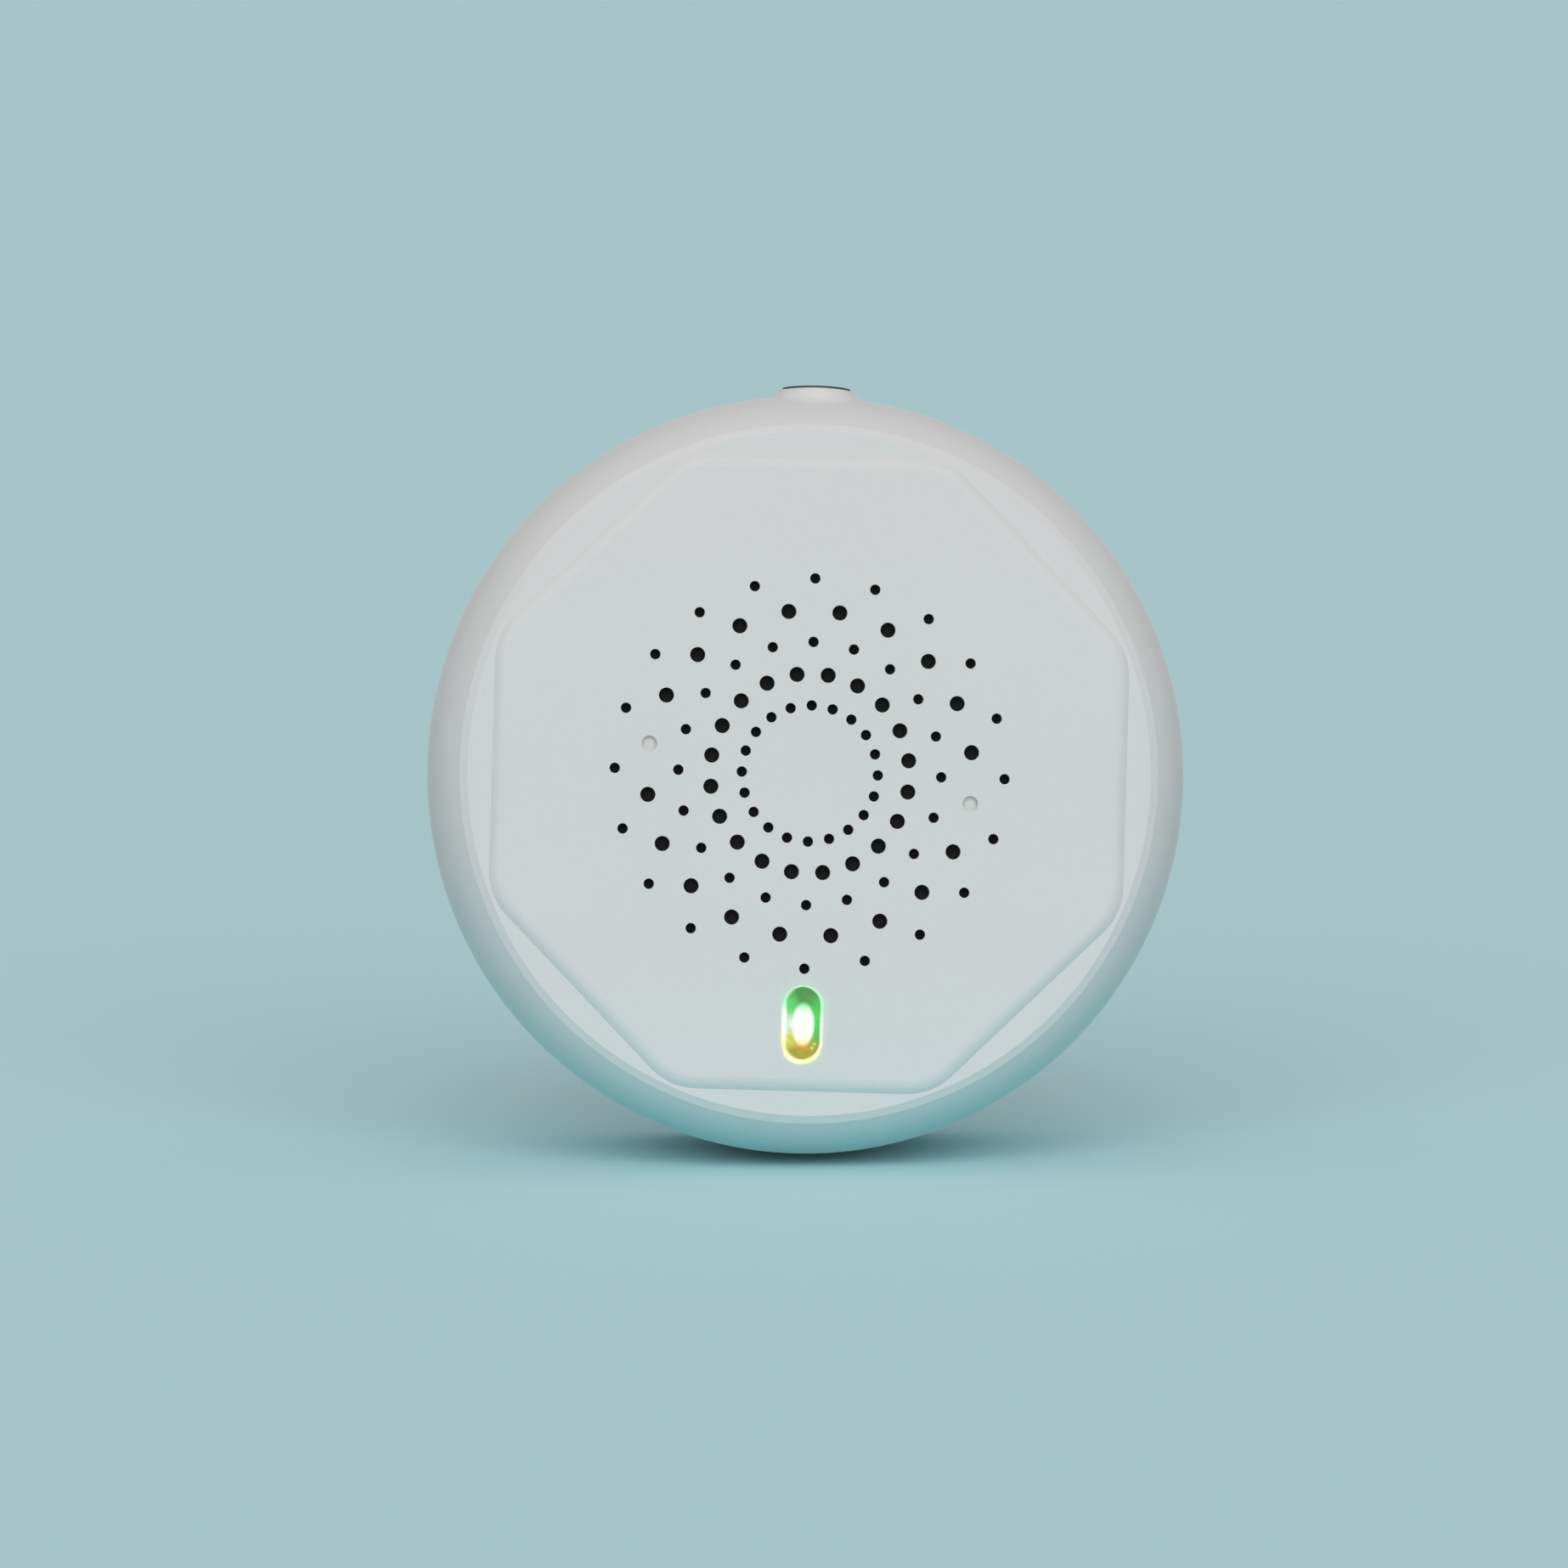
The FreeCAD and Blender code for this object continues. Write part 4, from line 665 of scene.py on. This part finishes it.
def build_looks():
    """Finish of each part of the frame. The parts that aren't named are of black resin."""
    plated = metal("plated_metal", (0.86, 0.8, 0.66), (0.78, 0.72, 0.58), (0.2, 0.32))
    steel = metal("bright_steel", (0.66, 0.66, 0.65), (0.56, 0.56, 0.56), (0.24, 0.38), DRAWN_OUT)
    screw = metal("zinc_screw", (0.62, 0.64, 0.66), (0.5, 0.52, 0.55), (0.28, 0.42))
    tin = metal("tinned_shield", (0.76, 0.76, 0.74), (0.66, 0.66, 0.65), (0.22, 0.4), ROLLED_ACROSS)
    board = board_laminate()
    can = metal("capacitor_metal", (0.72, 0.73, 0.75), (0.64, 0.65, 0.67), (0.25, 0.4), DRAWN_OUT)
    cloth = woven("screen_fabric", (0.012, 0.012, 0.013), (0.001, 0.001, 0.001),
                  pitch=0.25, metallic=0.0, rough=0.75)
    gauze = woven("sensor_gauze", (0.55, 0.55, 0.54), (0.02, 0.02, 0.02),
                  pitch=0.2, metallic=0.9, rough=0.35)
    return {
        "front_cover": cover_plastic(),
        "rear_housing": white_plastic("housing_plastic", *HOUSING_WHITE),
        "wall_bracket": white_plastic("bracket_plastic", *BRACKET_WHITE),
        "inlet_bush": grained("bush_plastic", (0.05, 0.053, 0.055), (0.035, 0.037, 0.04), (0.4, 0.55)),
        "lens_holder": resin("holder_plastic", (0.03, 0.03, 0.032), (0.02, 0.02, 0.021), 0.6),
        "green_lamp": lamp_plastic("green_light", (0.1, 0.7, 0.25), (0.1, 0.8, 0.25)),
        "red_lamp": lamp_plastic("red_light", (0.6, 0.03, 0.02), (0.0, 0.0, 0.0)),
        "amber_lamp": lamp_plastic("amber_light", (0.8, 0.4, 0.05), (0.9, 0.45, 0.04)),
        "insect_screen": cloth,
        "main_board": board,
        "radio_board": board,
        "sensor_header": steel,
        "sensor_cap": steel,
        "sensor_gauze": gauze,
        "sensor_chip": resin("sensor_ceramic", (0.8, 0.79, 0.75), (0.7, 0.69, 0.65), 0.55),
        "sensor_sleeve": resin("sleeve_rubber", (0.03, 0.03, 0.03), (0.02, 0.02, 0.02), 0.75),
        "sensor_pins": plated,
        "sounder_disc": metal("sounder_brass", (0.8, 0.6, 0.26), (0.7, 0.5, 0.2), (0.22, 0.35)),
        "sounder_pins": plated,
        "controller_leads": plated,
        "radio_shield": tin,
        "crystal_can": tin,
        "power_inductor": resin("ferrite", (0.045, 0.043, 0.042), (0.03, 0.029, 0.028), 0.7),
        "capacitor_can": can,
        "jack_pin": plated,
        "jack_lugs": plated,
        "case_screws": screw,
        "board_screws": screw,
    }


def dress_nodes():
    looks = build_looks()
    black = resin("black_resin", (0.022, 0.022, 0.024), (0.014, 0.014, 0.016), 0.5)
    for name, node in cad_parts.items():
        node.data.materials.clear()
        node.data.materials.append(looks.get(name, black))


# Pieces

def start_alone(piece=None):
    """Leave nothing chosen but the piece, if one is given."""
    bpy.ops.object.select_all(action="DESELECT")
    if piece:
        piece.select_set(True)
        bpy.context.view_layer.objects.active = piece


def pick(piece, kind, test):
    """Go to edit mode with only those vertices or edges chosen whose middle passes the test."""
    bpy.ops.object.mode_set(mode="EDIT")
    bpy.ops.mesh.select_mode(type=kind)
    bpy.ops.mesh.select_all(action="DESELECT")
    bpy.ops.object.mode_set(mode="OBJECT")
    vertices = piece.data.vertices
    if kind == "VERT":
        for vertex in vertices:
            vertex.select = test(vertex.co)
    else:
        for edge in piece.data.edges:
            first, second = [vertices[index].co for index in edge.vertices]
            edge.select = test((first + second) / 2)
    bpy.ops.object.mode_set(mode="EDIT")


def bar(name, half_width, front, back):
    """Bar with round ends that stands out from the wall, as long as the slot's straight part asks."""
    start_alone()
    middle = SLOT_HEIGHT * MM
    bpy.ops.mesh.primitive_circle_add(vertices=OUTLINE_STEPS, radius=half_width * MM, fill_type="NGON",
                                      location=(0.0, back * MM, middle),
                                      rotation=(math.pi / 2, math.pi / OUTLINE_STEPS, 0.0))
    piece = bpy.context.active_object
    piece.name = name
    bpy.ops.object.transform_apply(location=True, rotation=True, scale=True)
    pick(piece, "VERT", lambda place: place.z > middle)
    bpy.ops.transform.translate(value=(0.0, 0.0, SLOT_STRAIGHT * MM))
    pick(piece, "VERT", lambda place: place.z < middle)
    bpy.ops.transform.translate(value=(0.0, 0.0, -SLOT_STRAIGHT * MM))
    bpy.ops.mesh.select_all(action="SELECT")
    bpy.ops.mesh.extrude_region_move(TRANSFORM_OT_translate={"value": (0.0, (front - back) * MM, 0.0)})
    bpy.ops.mesh.select_all(action="SELECT")
    bpy.ops.mesh.normals_make_consistent(inside=False)
    bpy.ops.object.mode_set(mode="OBJECT")
    return piece


def round_front(piece, level, size, steps):
    """Round the edge of the piece's front face."""
    pick(piece, "EDGE", lambda place: abs(place.y - level * MM) < LEVEL_MATCH * MM)
    bpy.ops.mesh.bevel(offset=size * MM, segments=steps, affect="EDGES")
    bpy.ops.object.mode_set(mode="OBJECT")


def join_solid(piece, other):
    """Make one closed solid of the piece and the other, which goes."""
    start_alone(piece)
    union = piece.modifiers.new("join", "BOOLEAN")
    union.operation = "UNION"
    union.solver = "EXACT"
    union.object = other
    bpy.ops.object.modifier_apply(modifier=union.name)
    bpy.data.objects.remove(other, do_unlink=True)


def finish_piece(piece, material, node):
    """Smooth the piece, give it its material, hang it on the root body and hide the part that it stands in
    for.
    """
    start_alone(piece)
    bpy.ops.object.shade_smooth_by_angle(angle=SMOOTH_ANGLE)
    piece.data.materials.clear()
    piece.data.materials.append(material)
    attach(piece, "root")
    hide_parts(node)


def make_lens():
    """Light pipe of the indicator, its front edge rounded, with the flange that holds it."""
    pipe = bar("indicator_light_pipe", LENS_HALF, LENS_FRONT, LENS_BACK)
    round_front(pipe, LENS_FRONT, LENS_EDGE, LENS_EDGE_STEPS)
    flange = bar("lens_flange", FLANGE_HALF, FLANGE_FRONT, FLANGE_BACK)
    join_solid(pipe, flange)
    finish_piece(pipe, lens_plastic(), "indicator_lens")


# Stage

def turned(*degrees):
    return Euler([math.radians(angle) for angle in degrees])


def lay_floor():
    """Pale paper floor that the body's round side rests on."""
    turn = turned(FLOOR_TILT, FLOOR_ROLL, 0.0)
    normal = Vector((0.0, 0.0, 1.0))
    normal.rotate(turn)
    shells = [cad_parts[name] for name in ("front_cover", "rear_housing")]
    lowest = min(normal.dot(vertex.co) for shell in shells for vertex in shell.data.vertices)
    start_alone()
    bpy.ops.mesh.primitive_plane_add(size=FLOOR_SIZE, location=normal * lowest, rotation=turn)
    floor = bpy.context.active_object
    floor.name = "paper_floor"
    floor.data.materials.append(floor_paper())


def paper_colour(tree, place):
    """Colour of the paper: one for the eye, and one that lights the body from near or from far."""
    rays = tree.nodes.new("ShaderNodeLightPath")
    axes = tree.nodes.new("ShaderNodeSeparateXYZ")
    feed(tree, place, axes.inputs["Vector"])
    away = away_from(tree, axes.outputs["X"], axes.outputs["Y"], (0.0, BODY_MIDDLE))
    lit = blend(tree, fade(tree, away, NEAR_FROM, NEAR_TO), FLOOR_NEAR, FLOOR_FAR)
    paper = blend(tree, rays.outputs["Is Camera Ray"], lit, FLOOR_SEEN)
    grain = fade(tree, noise(tree, place, PAPER_GRAIN), *NOISE_SPAN, 0.0, PAPER_GRAIN_SHARE)
    return blend(tree, grain, paper, PAPER_FLECK)


def floor_paper():
    """Pale paper that is see-through from below, so that no view of the part is hidden."""
    material, tree, shader, place = new_material("pale_paper")
    feed(tree, paper_colour(tree, place), shader.inputs["Base Color"])
    shader.inputs["Roughness"].default_value = FLOOR_ROUGHNESS
    sides = tree.nodes.new("ShaderNodeNewGeometry")
    clear = tree.nodes.new("ShaderNodeBsdfTransparent")
    mixer = tree.nodes.new("ShaderNodeMixShader")
    feed(tree, sides.outputs["Backfacing"], mixer.inputs["Fac"])
    feed(tree, shader.outputs["BSDF"], mixer.inputs[1])
    feed(tree, clear.outputs["BSDF"], mixer.inputs[2])
    feed(tree, mixer.outputs["Shader"], tree.nodes["Material Output"].inputs["Surface"])
    return material


def light_stage():
    world = bpy.data.worlds.new("studio")
    bpy.context.scene.world = world
    world.use_nodes = True
    backdrop = world.node_tree.nodes["Background"]
    backdrop.inputs["Color"].default_value = SKY_COLOUR
    backdrop.inputs["Strength"].default_value = SKY_STRENGTH
    bpy.ops.object.light_add(type="SUN", rotation=turned(*SUN_TURN))
    sun = bpy.context.active_object
    sun.data.energy = SUN_STRENGTH
    sun.data.angle = math.radians(SUN_SPREAD)


def place_camera():
    bpy.ops.object.camera_add(location=CAMERA_PLACE, rotation=turned(*CAMERA_TURN))
    camera = bpy.context.active_object
    camera.data.lens = LENS_MM
    camera.data.sensor_width = SENSOR_MM
    bpy.context.scene.camera = camera


bpy.context.scene.view_settings.view_transform = "Standard"
dress_nodes()
make_lens()
lay_floor()
light_stage()
place_camera()
